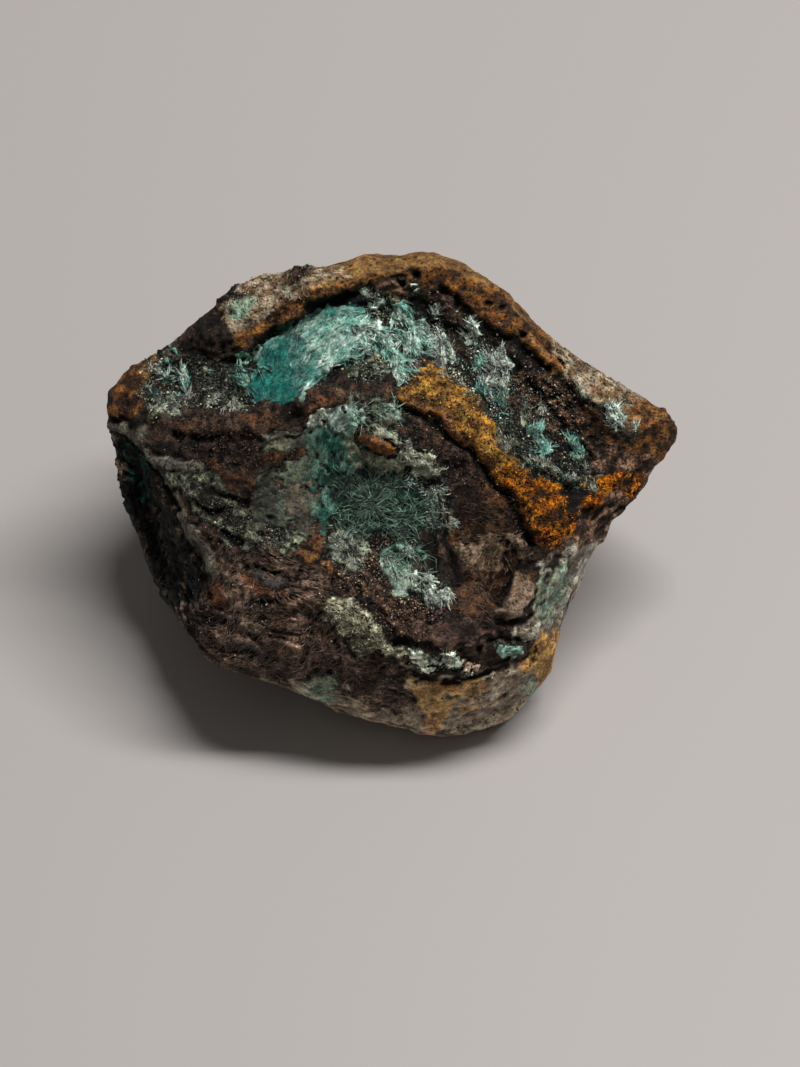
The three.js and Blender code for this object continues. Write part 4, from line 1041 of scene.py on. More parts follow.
class Crust(Bed):
    """One hollow's crust: a sheet over the rock, and the needles that grow on it."""

    def __init__(self, name, growths, angle, seed):
        self.name = name
        self.growths = growths
        super().__init__([growth[-1] for growth in growths], seed)
        x, y = wandered(self.rock, 0.6)
        finish = Finish(self.rock, CRUST_FINISHES, growths[0][0])
        cover = np.zeros(len(self.rock))
        openness = rough(self.rock, 1.5, 3, 131)
        for growth, rise, ragged, gaps, outline in growths:
            depth = inside(x, y, outline) + ragged * rough(self.rock, 1.2, 3, 120 + ragged)
            share = smooth_step(-0.25 * ragged, 0.4 * ragged, depth)
            grown = smooth_step(1.2 * gaps - 0.7, 1.2 * gaps - 0.5, openness)
            cover = cover * (1 - share) + share * grown
            finish.lay(growth, share, rise=rise * (0.35 + 0.65 * smooth_step(0, 7, depth)))
        kinds = crust_relief(self.rock, angle)
        height = sum(amount * kinds[kind] for kind, amount in finish.relief.items())
        cover *= self.on_rock
        lift = cover * (finish.rise + height) - CRUST_SUNK * (1 - cover)
        self.top = self.rock + lift[:, None] * OUT
        self.height = (self.top - FACE_MIDDLE) @ OUT
        self.cover = cover
        self.colour = finish.colour
        self.roughness = finish.roughness
        self.silk = np.minimum(6 * finish.relief["satin"], 1)
        self.strands = combed(self.rock, angle)
        # Where the crust is low or gone the cavity is high, and the material paints shade there.
        self.cavity = -lift
        level = lift.reshape(self.rows, self.columns)
        for rounds, weight in CRUST_CAVITIES:
            for _ in range(rounds):
                level = sum(np.roll(level, shift, axis) for axis in (0, 1) for shift in (-1, 1)) / 4
            self.cavity += weight * level.ravel()

    def sheet_mesh(self):
        """The sheet as one closed skin where there is any crust: points and faces."""
        grid = np.arange(self.rows * self.columns).reshape(self.rows, self.columns)
        corners = (grid[:-1, :-1], grid[:-1, 1:], grid[1:, 1:], grid[1:, :-1])
        cells = np.column_stack([corner.ravel() for corner in corners])
        cells = cells[(self.cover[cells].max(axis=1) > SHEET_EDGE) & self.on_rock[cells].all(axis=1)]
        cells = cells[np.ptp(self.height[cells], axis=1) <= STEEPEST]
        edges = np.concatenate([cells[:, [i, (i + 1) % 4]] for i in range(4)])
        codes = edges[:, 0] * len(self.rock) + edges[:, 1]
        back = edges[:, 1] * len(self.rock) + edges[:, 0]
        rim = edges[~np.isin(codes, back)]
        used = np.unique(cells)
        number = np.zeros(len(self.rock), int)
        number[used] = np.arange(len(used))
        bottom = self.top[used] - (CRUST_FOOT + self.cover[used][:, None]) * OUT
        points = np.concatenate((self.top[used], bottom))
        top_faces = number[cells]
        bottom_faces = top_faces[:, ::-1] + len(used)
        start, end = number[rim[:, 0]], number[rim[:, 1]]
        walls = np.column_stack((end, start, start + len(used), end + len(used)))
        faces = np.concatenate((top_faces, bottom_faces, walls))
        self.used = np.tile(used, 2)
        return points, faces


LOCK_SHADES = (0.68, 1.14)  # from the dark locks of strewn needles to the light ones
TUFT_SHADES = (0.2, 1.45)
SPRAY_SHADES = (0.25, 1.15)
LIGHTEST = 1.15  # the lightest shade that a needle may have
TUFT_SPREAD, SPRAY_SPREAD = 0.14, 0.25  # mm between the roots of a tuft, and of a spray
TUFT_WANDER, TUFT_LEAN = 70, 25  # degrees that tufts turn from place to place, and each by itself
BEND_AT = 0.55  # where along a needle it bends

# The needles: the colour that they go towards, how far they have gone at their roots and their
# tips, lengths and widths in mm, how high the tips stand above the surface in mm, how far they
# bend, as a share of their length, and how unlike one another they are in shade.
NEEDLES = {
    "satin": ((186, 220, 210), (0, 0.05), (0, 0.32), (0.8, 2), (0.06, 0.1), (0, 0.05), 0.04, 0.12),
    "teal satin": ((70, 150, 138), (0, 0.1), (0, 0.6), (0.8, 2), (0.06, 0.11), (0, 0.06), 0.05, 0.15),
    "green satin": ((96, 134, 118), (0, 0.1), (0, 0.6), (0.8, 2.2), (0.06, 0.11), (0.01, 0.1), 0.06, 0.25),
    "white blade": ((242, 248, 236), (0, 0.4), (0.4, 1), (0.8, 2.2), (0.16, 0.34), (0.1, 0.7), 0, 0.3),
    "green hair": ((174, 214, 188), (0, 0.35), (0.1, 1), (1.2, 3.6), (0.08, 0.16), (0.05, 0.4), 0.14, 0.35),
    "white hair": ((232, 240, 226), (0.1, 0.5), (0.5, 1), (0.4, 1.3), (0.08, 0.16), (0.05, 0.5), 0.1, 0.3),
    "teal blade": ((160, 218, 204), (0, 0.3), (0.2, 1), (0.8, 2), (0.14, 0.3), (0.1, 0.7), 0.04, 0.3),
    "brown hair": ((158, 136, 118), (0, 0.2), (0, 0.7), (0.8, 2.2), (0.08, 0.15), (0, 0.15), 0.2, 0.3),
}


def strewn(bed, kind, outline, count, angle, spread, ragged=4):
    """Needles strewn inside an outline in locks, all laid about one way on the plan."""
    roots = bed.places_in(outline, count, ragged)
    spots = bed.over(roots, 0.0)
    lock = 1.2 * swells(spots, 1.8, 161) + 0.6 * swells(spots, 0.8, 162)
    turned = np.radians(angle + spread * (lock + 0.35 * bed.dice.standard_normal(len(roots))))
    return laid(bed, kind, roots, turned, np.interp(lattice_shade(spots), (0, 1), LOCK_SHADES))


def lattice_shade(spots):
    """A shade from 0 to 1 that changes from lock to lock."""
    return np.clip(0.5 + 0.7 * swells(spots, 1.1, 163) + 0.4 * swells(spots, 0.5, 164), 0, 1)


def tufted(bed, kind, outline, bunches, blades, angle, fan, ragged=3):
    """Bunches of needles inside an outline, each spread like a brush over a fan in degrees, and
    all of them leaning about one way."""
    middles = bed.places_in(outline, bunches, ragged)
    which = np.repeat(np.arange(len(middles)), blades)
    ways = angle + TUFT_WANDER * swells(bed.over(middles, 0.0), 3.0, 165)
    ways += bed.dice.normal(0, TUFT_LEAN, len(middles))
    shades = bed.dice.uniform(*TUFT_SHADES, len(middles))
    roots = middles[which] + bed.dice.normal(0, TUFT_SPREAD, (len(which), 2))
    turned = np.radians(ways[which] + fan * bed.dice.standard_normal(len(which)))
    return laid(bed, kind, roots, turned, shades[which])


def sprayed(bed, kind, middle, count, reach):
    """Needles that spread like a star from a middle given on the plan."""
    roots = off_plan(*middle) + bed.dice.normal(0, SPRAY_SPREAD, (count, 2))
    turned = np.radians(360 * bed.dice.random(count))
    return laid(bed, kind, roots, turned, bed.dice.uniform(*SPRAY_SHADES, count), reach)


def laid(bed, kind, roots, turned, shade, reach=1.0):
    """Needles from their roots on the face, each turned its own way: the points and colours of
    their roots, middles and tips, and their widths."""
    tip_colour, root_share, tip_share, lengths, widths, lifts, bend, unlike = NEEDLES[kind]
    count = len(roots)
    length = reach * bed.dice.uniform(*lengths, count)[:, None]
    way = np.column_stack((np.cos(turned), np.sin(turned)))
    aside = np.column_stack((-way[:, 1], way[:, 0])) * length
    middles = roots + BEND_AT * length * way + bend * bed.dice.normal(0, 1, (count, 1)) * aside
    ends = roots + length * way
    lift = bed.dice.uniform(*lifts, count)
    root = bed.over(roots, bed.dice.uniform(-0.15, 0.02, count))
    middle = bed.over(middles, 0.7 * lift)
    tip = bed.over(ends, lift)
    longest = 1.8 * length[:, 0] + 0.3
    near = np.linalg.norm(tip - root, axis=1) < longest
    near &= np.linalg.norm(middle - root, axis=1) < longest
    own_shade = bed.dice.uniform(0.95 - unlike, 0.95 + unlike, (count, 1))
    shade = np.minimum(shade[:, None] * own_shade, LIGHTEST)
    colour = bed.sampled(bed.colour, *roots.T)
    colours = []
    for low, high in (root_share, tip_share):
        share = bed.dice.uniform(low, high, (count, 1))
        colours.append(((colour * (1 - share) + linear(tip_colour) * share) * shade)[near])
    colours.insert(1, (colours[0] + colours[1]) / 2)
    width = bed.dice.uniform(*widths, count)
    return root[near], middle[near], tip[near], width[near], *colours


def needle_mesh(needles, dice):
    """Three-sided bent needles with sharp tips, each closed at its root and turned by the dice."""
    root, middle, tip, width, *colours = (np.concatenate(part) for part in zip(*needles))
    along = tip - root
    along /= np.linalg.norm(along, axis=1, keepdims=True)
    aside = np.cross(along, dice.standard_normal(along.shape))
    aside /= np.linalg.norm(aside, axis=1, keepdims=True)
    third = np.cross(along, aside)
    points, tints = [], []
    for centre, thickness, colour in ((root, 0.4, colours[0]), (middle, 0.5, colours[1])):
        for turn in range(3):
            angle = turn * math.tau / 3
            spoke = math.cos(angle) * aside + math.sin(angle) * third
            points.append(centre + thickness * width[:, None] * spoke)
            tints.append(colour)
    points = np.stack(points + [tip], axis=1).reshape(-1, 3)
    tints = np.stack(tints + [colours[2]], axis=1).reshape(-1, 3)
    first = 7 * np.arange(len(root))[:, None]
    corners = [(0, 2, 1)]
    for side in range(3):
        after = (side + 1) % 3
        corners += [(side, after, 3 + after), (side, 3 + after, 3 + side), (3 + side, 3 + after, 6)]
    return points, np.concatenate([first + np.array(face) for face in corners]), tints


def mesh_of(name, points, face_sets):
    """A mesh from points in mm and sets of faces, each set with its own number of corners."""
    mesh = bpy.data.meshes.new(name)
    mesh.vertices.add(len(points))
    corners = np.concatenate([faces.ravel() for faces in face_sets])
    sizes = np.concatenate([np.full(len(faces), faces.shape[1]) for faces in face_sets])
    mesh.loops.add(len(corners))
    mesh.polygons.add(len(sizes))
    mesh.vertices.foreach_set("co", (points * MM).ravel())
    mesh.loops.foreach_set("vertex_index", corners.astype(np.int32))
    starts = np.concatenate(((0,), np.cumsum(sizes)[:-1]))
    mesh.polygons.foreach_set("loop_start", starts.astype(np.int32))
    mesh.update(calc_edges=True)
    return mesh


aurichalcite, nodes, shader = new_material("aurichalcite")
silk = nodes.kept("silk")
# The grain paints shade into the crust's hollows and gaps.
grain = nodes.effect(grain_group, {
    "Colour": nodes.kept("tint", "Color"),
    "Cavity": nodes.kept("cavity"),
    "Grain Scale": 3200,
    "Contrast": nodes.value("MULTIPLY_ADD", silk, -1.05, 1.7),
    "Black Specks": 0.4,
    "Hollow Shade Strength": 3.2,
})
# Painted sheen: the satin's strands lighten and darken its colour along its fibres, and bend its normals.
strands = nodes.effect(strand_group, {"Place": nodes.kept("combed", "Vector"), "Strand Scale": 6.5})
strand_light = nodes.value("MULTIPLY", strands["Light"], silk)
light = nodes.value("MAXIMUM", nodes.value("MULTIPLY_ADD", strand_light, 0.3, 1.0), 0.2)
height = nodes.value("ADD", grain["Height"], strand_light)
nodes.feed(shader.inputs["Base Color"], nodes.scaled(grain["Colour"], light))
nodes.feed(shader.inputs["Roughness"], nodes.kept("roughness"))
nodes.feed(shader.inputs["Normal"], nodes.bump(height, 0.8, 0.0002))
shader.inputs["Specular IOR Level"].default_value = 0.55


def finish_crust(crust, needles):
    """Joins a crust's sheet and its needles into the piece that stands for its CAD node, and
    leaves dust of its crystals on the rock round it."""
    for *_, gaps, outline in crust.growths:
        if gaps == BARE:
            continue
        chosen = close_by(face_x, face_y, outline, DUST_REACH)
        near = smooth_step(-DUST_REACH, 0, inside(face_x[chosen], face_y[chosen], outline))
        dust[chosen] = np.maximum(dust[chosen], DUST_MOST * near * on_face[chosen])
    points, faces = crust.sheet_mesh()
    needle_points, needle_faces, needle_colours = needle_mesh(needles, crust.dice)
    all_points = np.concatenate((points, needle_points))
    mesh = mesh_of(crust.name, all_points, (faces, needle_faces + len(points)))
    keep(mesh, "tint", np.concatenate((crust.colour[crust.used], needle_colours)), "FLOAT_COLOR")
    keep(mesh, "combed", np.concatenate((crust.strands[crust.used], needle_points)), "FLOAT_VECTOR")
    for name, on_needles in (("roughness", NEEDLE_ROUGHNESS), ("cavity", 0), ("silk", 0)):
        values = getattr(crust, name)[crust.used]
        keep(mesh, name, np.append(values, np.full(len(needle_points), on_needles)))
    smooth = np.zeros(len(mesh.polygons), bool)
    smooth[: len(faces)] = True
    mesh.polygons.foreach_set("use_smooth", smooth)
    mesh.materials.append(aurichalcite)
    piece = placed(crust.name + "_growth", mesh)
    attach(piece, "root")
    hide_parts(crust.name)


UPPER_MAT = drawn(258, 352, 262, 343, 272, 336, 284, 329, 296, 320, 304, 311, 314, 313, 326, 309, 340, 306,
    354, 304, 364, 310, 372, 322, 374, 338, 366, 348, 352, 358, 340, 368, 326, 380, 312, 392, 296, 400,
    272, 404, 255, 401, 252, 390, 260, 376, 256, 364)
UPPER_PALE = drawn(288, 330, 302, 318, 326, 315, 350, 310, 368, 322, 370, 338, 350, 356, 330, 372,
    314, 388, 298, 394, 292, 376, 288, 352)
UPPER_TEAL = drawn(260, 354, 270, 343, 284, 346, 290, 366, 286, 380, 296, 392, 294, 403, 270, 404,
    252, 396, 250, 384, 260, 370)
UPPER_BLADES = drawn(392, 302, 402, 298, 416, 312, 426, 328, 430, 346, 422, 354, 410, 350, 398, 338,
    390, 322)
UPPER_GRANULES = drawn(368, 296, 382, 292, 396, 300, 398, 316, 394, 330, 382, 334, 370, 326, 364, 310)
UPPER_TEAL_TUFT = drawn(362, 328, 376, 326, 392, 334, 400, 350, 386, 352, 372, 346, 362, 340)
UPPER_PALE_FOOT = drawn(392, 352, 408, 350, 424, 354, 422, 368, 412, 378, 400, 384, 392, 372, 388, 360)
UPPER_FOOT = drawn(350, 354, 366, 346, 384, 352, 392, 366, 382, 379, 366, 381, 354, 374, 346, 364)
LEFT_STREAKS = drawn(232, 352, 246, 342, 258, 341, 262, 360, 258, 376, 250, 392, 236, 397, 224, 388,
    234, 370)
LEFT_FOOT = drawn(203, 396, 216, 390, 232, 392, 240, 400, 250, 404, 240, 411, 222, 412, 208, 411)
LEFT_SCATTER = drawn(190, 358, 206, 352, 228, 358, 240, 372, 236, 392, 216, 396, 196, 388, 186, 372)
LIP_CLUSTER = drawn(357, 287, 367, 285, 377, 292, 374, 300, 362, 297)
upper_growths = (
    ("green white", 0.4, 6, 1, LEFT_SCATTER),
    ("mid teal", 0.4, 6, 0.75, LEFT_STREAKS),
    ("green white", 0.5, 4, 0.45, LEFT_FOOT),
    ("green white", 0.4, 5, 0.55, UPPER_FOOT),
    ("white tuft", 0.4, 3, 0.2, LIP_CLUSTER),
    ("white tuft", 0.4, 3, 0.1, drawn(410, 282, 420, 283, 422, 293, 412, 295)),
    ("white tuft", 0.5, 5, 0.5, UPPER_GRANULES),
    ("bright teal", 0.6, 5, 0.3, UPPER_TEAL_TUFT),
    ("bright teal", 0.7, 4, 0.3, UPPER_BLADES),
    ("bright teal", 0.5, 4, 0.3, UPPER_PALE_FOOT),
    ("pale satin", 0.5, 5, -0.6, UPPER_MAT),
    ("bright teal", 0.6, 8, -0.6, drawn(296, 330, 330, 318, 352, 320, 350, 342, 330, 352, 300, 356)),
    ("pale mint", 0.6, 5, -0.2, drawn(354, 318, 370, 324, 372, 340, 358, 350, 350, 336)),
    ("pale mint", 0.6, 7, -0.3, drawn(298, 318, 304, 312, 312, 318, 308, 328, 298, 326)),
    ("pale mint", 0.5, 9, -0.2, drawn(306, 344, 322, 332, 340, 334, 346, 344, 328, 354, 312, 358)),
    ("pale mint", 0.5, 7, -0.2, drawn(318, 366, 330, 360, 336, 366, 324, 378)),
    ("pale mint", 0.5, 7, -0.2, drawn(292, 392, 304, 386, 312, 390, 300, 400)),
    ("deep teal", 0.5, 9, -0.6, UPPER_TEAL),
    ("deep green", 0.5, 4, -0.6, drawn(280, 326, 292, 320, 300, 326, 290, 336, 278, 338)),
)
upper = Crust("upper_hollow_crust", upper_growths, math.radians(52), 5)
upper_needles = [
    strewn(upper, "satin", UPPER_PALE, 2100, 50, 24, 2),
    strewn(upper, "teal satin", UPPER_TEAL, 1400, 70, 22, 2),
    strewn(upper, "white blade", UPPER_PALE, 50, 40, 40, 3),
    tufted(upper, "white hair", LIP_CLUSTER, 10, 8, -40, 40),
    tufted(upper, "teal blade", LEFT_SCATTER, 8, 8, -60, 24),
    tufted(upper, "teal blade", LEFT_STREAKS, 9, 8, -60, 16),
    tufted(upper, "white hair", LEFT_FOOT, 14, 10, -60, 50),
    tufted(upper, "white blade", UPPER_BLADES, 46, 8, -60, 11),
    tufted(upper, "teal blade", UPPER_BLADES, 40, 8, -60, 11),
    tufted(upper, "white hair", UPPER_GRANULES, 14, 8, -60, 60),
    tufted(upper, "teal blade", UPPER_TEAL_TUFT, 34, 10, -60, 20),
    tufted(upper, "white blade", UPPER_TEAL_TUFT, 16, 9, -60, 16),
    tufted(upper, "white hair", UPPER_FOOT, 12, 8, -60, 50),
    strewn(upper, "satin", UPPER_PALE_FOOT, 450, 60, 40),
    tufted(upper, "white blade", UPPER_PALE_FOOT, 14, 9, -60, 20),
    tufted(upper, "white blade", drawn(352, 318, 370, 324, 372, 340, 356, 350), 18, 9, -40, 18),
]
finish_crust(upper, upper_needles)


# ---- The crust of the central hollow ------------------------------------------------------------
# Sprays of green needles grown through one another over a dark teal felt, with white fluff along
# the lower edge, a smooth pale green skin at the left and a small lump of rust at the top.

CENTRE_GREEN = drawn(338, 478, 360, 470, 396, 474, 428, 484, 440, 505, 436, 528, 412, 540, 396, 540,
    384, 532, 366, 536, 350, 540, 336, 532, 332, 505)
WHITE_EDGE = drawn(324, 536, 338, 530, 356, 534, 366, 542, 370, 554, 364, 568, 348, 574, 334, 562,
    326, 550)
LOWER_TOP = drawn(390, 546, 402, 540, 416, 546, 428, 558, 424, 572, 404, 566, 388, 562, 380, 556)
LOWER_SMOOTH = drawn(378, 562, 392, 560, 410, 566, 414, 584, 408, 600, 394, 598, 386, 584)
LOWER_WHITE = drawn(412, 566, 428, 562, 440, 574, 449, 590, 447, 607, 434, 606, 420, 598, 412, 590)
TOP_TEAL = drawn(332, 404, 350, 400, 362, 412, 360, 430, 350, 440, 336, 440, 326, 428)
TOP_PALE = drawn(304, 420, 318, 411, 334, 405, 336, 418, 322, 428, 308, 430)
TOP_RIGHT = drawn(340, 396, 352, 391, 372, 395, 392, 402, 402, 413, 398, 426, 386, 430, 376, 422, 364, 420,
    350, 410)
RIGHT_PALE = drawn(398, 446, 414, 444, 432, 454, 446, 468, 440, 482, 420, 484, 402, 478, 394, 462)
RIGHT_FRINGE = drawn(426, 482, 446, 478, 458, 494, 452, 512, 458, 528, 440, 538, 428, 524, 436, 502)
DEEP_BAND = drawn(316, 452, 338, 444, 352, 456, 362, 472, 348, 488, 342, 510, 338, 532, 322, 526, 316, 500,
    312, 472)
centre_growths = (
    ("green skin", 0.3, 4, -0.1, drawn(262, 472, 276, 464, 294, 461, 312, 451, 324, 470, 324, 500,
        320, 524, 306, 538, 292, 546, 276, 548, 262, 540, 254, 524, 250, 504, 254, 486)),
    ("brown skin", 0.35, 6, -0.1, drawn(284, 486, 304, 478, 322, 486, 320, 520, 306, 530, 288, 520)),
    ("grey felt", 0.3, 5, 0.6, drawn(250, 518, 270, 526, 292, 524, 302, 536, 292, 549, 272, 551,
        256, 542)),
    ("green white", 0.4, 5, 0.25, drawn(262, 538, 278, 534, 294, 532, 304, 538, 296, 550, 276, 552,
        262, 546)),
    ("grey felt", 0.3, 4, 0, drawn(264, 436, 282, 430, 302, 430, 316, 440, 310, 448, 284, 453,
        266, 452)),
    ("deep green", 0.4, 5, -0.5, drawn(306, 432, 330, 424, 356, 438, 368, 452, 350, 462, 322, 460,
        308, 450)),
    ("pale felt", 0.3, 6, -0.3, drawn(342, 424, 362, 418, 392, 430, 410, 446, 414, 470, 398, 484, 362, 478,
        348, 464)),
    ("grey felt", 0.5, 5, 0.2, TOP_RIGHT),
    ("dark teal", 0.4, 3, 0.3, drawn(352, 396, 366, 394, 374, 404, 368, 416, 356, 412)),
    ("pale green skin", 0.6, 4, 0.2, drawn(376, 404, 392, 404, 402, 414, 396, 426, 382, 420)),
    ("bright bead", 0.9, 4, -0.2, TOP_PALE),
    # Pale mint here is lighter than this crust, to make up for the shade over it: painted light.
    ("pale mint", 0.8, 4, -0.2, TOP_TEAL),
    ("deep green", 0.5, 5, -0.5, drawn(318, 428, 330, 426, 342, 440, 340, 454, 326, 452, 316, 442)),
    ("deep green", 0.4, 16, -0.4, DEEP_BAND),
    ("dark teal", 0.2, 4, 0, drawn(322, 480, 340, 474, 362, 470, 364, 480, 344, 492, 328, 496)),
    ("pale felt", 0.3, 5, 0.2, RIGHT_PALE),
    ("grey felt", 0.3, 5, 0.6, RIGHT_FRINGE),
    ("green felt", 0.3, 6, -0.3, CENTRE_GREEN),
    ("dark teal", 0.2, 6, -0.3, drawn(376, 484, 396, 476, 420, 484, 426, 502, 408, 506, 388, 500)),
    ("dark teal", 0.2, 5, -0.3, drawn(330, 500, 344, 496, 352, 512, 346, 532, 332, 526)),
    ("green white", 0.5, 5, 0.25, WHITE_EDGE),
    ("mid teal", 0.6, 4, 0.3, LOWER_TOP),
    ("white tuft", 0.7, 4, 0.3, LOWER_WHITE),
    ("pale green skin", 0.6, 3, -0.5, LOWER_SMOOTH),
    ("green felt", 0.3, 3, BARE, drawn(354, 437, 361, 426, 371, 431, 391, 441, 400, 449, 398, 457,
        384, 458, 368, 454, 357, 446)),
    ("rust lump", 1.2, 1, -1, drawn(357, 437, 362, 428, 369, 433, 378, 437, 390, 444, 398, 449, 396, 455,
        384, 456, 370, 452, 360, 445)),
)
centre = Crust("centre_hollow_crust", centre_growths, math.radians(70), 6)
centre_needles = [
    strewn(centre, "green hair", CENTRE_GREEN, 420, 20, 110, 8),
    sprayed(centre, "green hair", (372, 504), 130, 1.3),
    sprayed(centre, "green hair", (406, 516), 100, 1.2),
    sprayed(centre, "green hair", (350, 528), 60, 1),
    sprayed(centre, "green hair", (392, 488), 50, 0.9),
    sprayed(centre, "white hair", (340, 544), 90, 1.7),
    sprayed(centre, "white hair", (354, 558), 90, 1.7),
    tufted(centre, "white hair", WHITE_EDGE, 40, 9, -60, 22),
    tufted(centre, "white hair", LOWER_WHITE, 40, 10, -50, 26),
    tufted(centre, "white blade", LOWER_WHITE, 20, 8, -50, 18),
    strewn(centre, "green hair", LOWER_TOP, 160, 0, 120, 6),
    tufted(centre, "white hair", LOWER_TOP, 26, 9, -50, 26),
    strewn(centre, "green satin", DEEP_BAND, 800, 78, 24, 14),
    strewn(centre, "satin", TOP_TEAL, 160, 50, 30, 6),
    tufted(centre, "white hair", TOP_PALE, 3, 8, -50, 26),
    strewn(centre, "white hair", RIGHT_PALE, 300, 0, 120, 8),
    strewn(centre, "white hair", RIGHT_FRINGE, 260, 0, 120, 8),
    strewn(centre, "green hair", TOP_RIGHT, 160, 0, 120, 6),
]
finish_crust(centre, centre_needles)


# ---- The crust of the right trough --------------------------------------------------------------
# Loose clusters of pale teal blades on the dark rock of the trough, with white tips, and a vein
# of the same crystals on the skin to the right.

# The finish, needles and how many bunches of them, and the growth's other values.
TROUGH_CLUSTERS = (
    # This cluster is made white to make up for the lip's shade over it: painted light.
    ("white tuft", "white blade", 12, 0.4, 5, 0.2, drawn(430, 312, 438, 311, 440, 320, 436, 327,
        430, 324)),
    ("white tuft", "white blade", 26, 0.52, 6, 0.47, drawn(436, 326, 446, 328, 454, 342, 458, 356,
        450, 366, 438, 362, 432, 346)),
    ("dark teal", "green hair", 3, 0.39, 4, 0.32, drawn(442, 344, 450, 346, 452, 356, 444, 357)),
    ("green white", "white hair", 15, 0.33, 7, 0.75, drawn(434, 362, 452, 366, 470, 382, 480, 400,
        464, 394, 446, 380)),
    ("white tuft", "white blade", 20, 0.52, 6, 0.52, drawn(465, 322, 478, 326, 488, 344, 494, 362,
        486, 370, 474, 356, 467, 340)),
    ("mid teal", "teal blade", 12, 0.39, 6, 0.47, drawn(472, 352, 486, 350, 494, 362, 488, 374, 476, 370)),
    ("white tuft", "white blade", 44, 0.59, 6, 0.32, drawn(492, 346, 506, 348, 516, 360, 514, 378,
        508, 394, 496, 392, 490, 370)),
    ("white tuft", "white blade", 19, 0.52, 6, 0.47, drawn(476, 376, 494, 370, 504, 382, 498, 400,
        482, 400)),
    ("mid teal", "teal blade", 19, 0.45, 6, 0.42, drawn(478, 392, 490, 388, 498, 400, 504, 416, 496, 420,
        484, 408)),
    ("green felt", "green hair", 10, 0.26, 7, 0.5, drawn(494, 398, 508, 396, 516, 412, 514, 430,
        502, 426)),
    ("grey felt", "white hair", 19, 0.39, 7, 0.52, drawn(498, 426, 514, 430, 522, 446, 538, 462, 530, 474,
        512, 458, 500, 442)),
    ("bright teal", "teal blade", 30, 0.59, 6, 0.32, drawn(532, 426, 546, 421, 552, 434, 549, 450,
        538, 456, 530, 442)),
    ("mid teal", "teal blade", 14, 0.45, 6, 0.37, drawn(569, 440, 580, 442, 586, 456, 578, 467, 568, 456)),
    ("grey felt", "white hair", 38, 0.39, 8, 0.52, drawn(536, 460, 560, 456, 586, 460, 600, 474, 594, 491,
        575, 489, 550, 480)),
    ("grey felt", "white hair", 8, 0.39, 5, 0.52, drawn(538, 402, 548, 402, 549, 418, 543, 424, 538, 414)),
    ("green white", "green hair", 6, 0.26, 8, 0.95, drawn(504, 398, 522, 396, 532, 412, 528, 432, 538, 452,
        522, 446, 508, 424)),
    ("pale mint", "white blade", 18, 0.33, 4, 0.2, drawn(602, 404, 610, 408, 617, 419, 625, 431, 617, 433,
        608, 421)),
    ("pale mint", "white blade", 20, 0.26, 5, 0.5, drawn(614, 408, 626, 416, 636, 430, 628, 434,
        618, 420)),
    ("green white", "white hair", 15, 0.26, 6, 0.62, drawn(567, 362, 580, 376, 594, 392, 598, 404,
        584, 400, 572, 384)),
)
trough_growths = tuple((cluster[0], *cluster[3:]) for cluster in TROUGH_CLUSTERS)
trough = Crust("right_trough_crust", trough_growths, math.radians(120), 7)
trough_needles = [
    tufted(trough, kind, outline, bunches, 7, 100, 13)
    for _, kind, bunches, *_, outline in TROUGH_CLUSTERS
]
finish_crust(trough, trough_needles)


# ---- The crust of the left pocket ---------------------------------------------------------------
# A fan of blue-green blades of aurichalcite at the pocket's back, grown in a ring of granular
# green and white crystals.

POCKET_FAN = drawn(160, 354, 170, 347, 178, 350, 184, 364, 190, 382, 188, 396, 178, 400, 168, 388,
    161, 372)
POCKET_RING = drawn(164, 388, 178, 386, 192, 394, 196, 406, 188, 416, 170, 417, 154, 419, 148, 408)
POCKET_SIDE = drawn(147, 364, 158, 358, 162, 374, 156, 386, 146, 384, 143, 374)
pocket_growths = (
    ("green white", 0.5, 5, 0.4, POCKET_RING),
    ("green white", 0.5, 5, 0.4, POCKET_SIDE),
    ("pale satin", 0.7, 5, 0.35, POCKET_FAN),
    ("dark teal", 0.5, 3, 0.15, drawn(145, 386, 154, 384, 159, 400, 151, 408, 146, 400)),
)
pocket = Crust("left_pocket_crust", pocket_growths, math.radians(110), 8)
pocket_needles = [
    tufted(pocket, "white hair", POCKET_RING, 26, 14, 100, 80),
    tufted(pocket, "white hair", POCKET_SIDE, 10, 12, 100, 80),
    strewn(pocket, "satin", POCKET_FAN, 500, 105, 20),
    tufted(pocket, "white blade", POCKET_FAN, 8, 14, 100, 30),
    strewn(pocket, "green satin", pocket_growths[3][-1], 120, 110, 30),
]
finish_crust(pocket, pocket_needles)


# ---- The crust of the lower groove --------------------------------------------------------------
# A row of pale beads and short needles of aurichalcite, grown in the groove above the lower lobe,
# with a pink bead between the white ones.

groove_growths = (
    # The beads take the lightest finish, lighter than their own colour, to make up for the groove's shade:
    # painted light.
    ("bright bead", 1.1, 3, -0.1, drawn(404, 650, 416, 648, 430, 654, 442, 664, 436, 671, 422, 670,
        410, 664)),
    ("bright bead", 1.1, 3, -0.1, drawn(440, 652, 453, 650, 463, 662, 458, 672, 442, 669)),
    ("pink bead", 1, 3, 0.1, drawn(458, 656, 470, 658, 478, 664, 472, 671, 460, 671)),
    ("bright teal", 0.7, 3, 0.05, drawn(492, 645, 505, 643, 524, 645, 522, 654, 500, 656)),
)
groove = Crust("lower_groove_crust", groove_growths, math.radians(0), 9)
groove_needles = [
    strewn(groove, "white hair", groove_growths[0][-1], 60, 90, 60, 1),
    strewn(groove, "white hair", groove_growths[1][-1], 50, 90, 60, 1),
    strewn(groove, "satin", groove_growths[3][-1], 150, 0, 40, 1),
]
finish_crust(groove, groove_needles)

keep(stone_mesh, "dust", dust)


# ---- The loose grains on the rock ---------------------------------------------------------------
# Small crystals and crumbs of iron ore, grown fast to the broken face, thickest on the dark rock
# of the trough and under the central hollow, and tiny pale grains all over the face that stand for
# glints: painted highlights.

LOBE_TOP = drawn(350, 690, 400, 676, 460, 684, 510, 672, 556, 660, 530, 712, 480, 736, 420, 728, 370, 712)

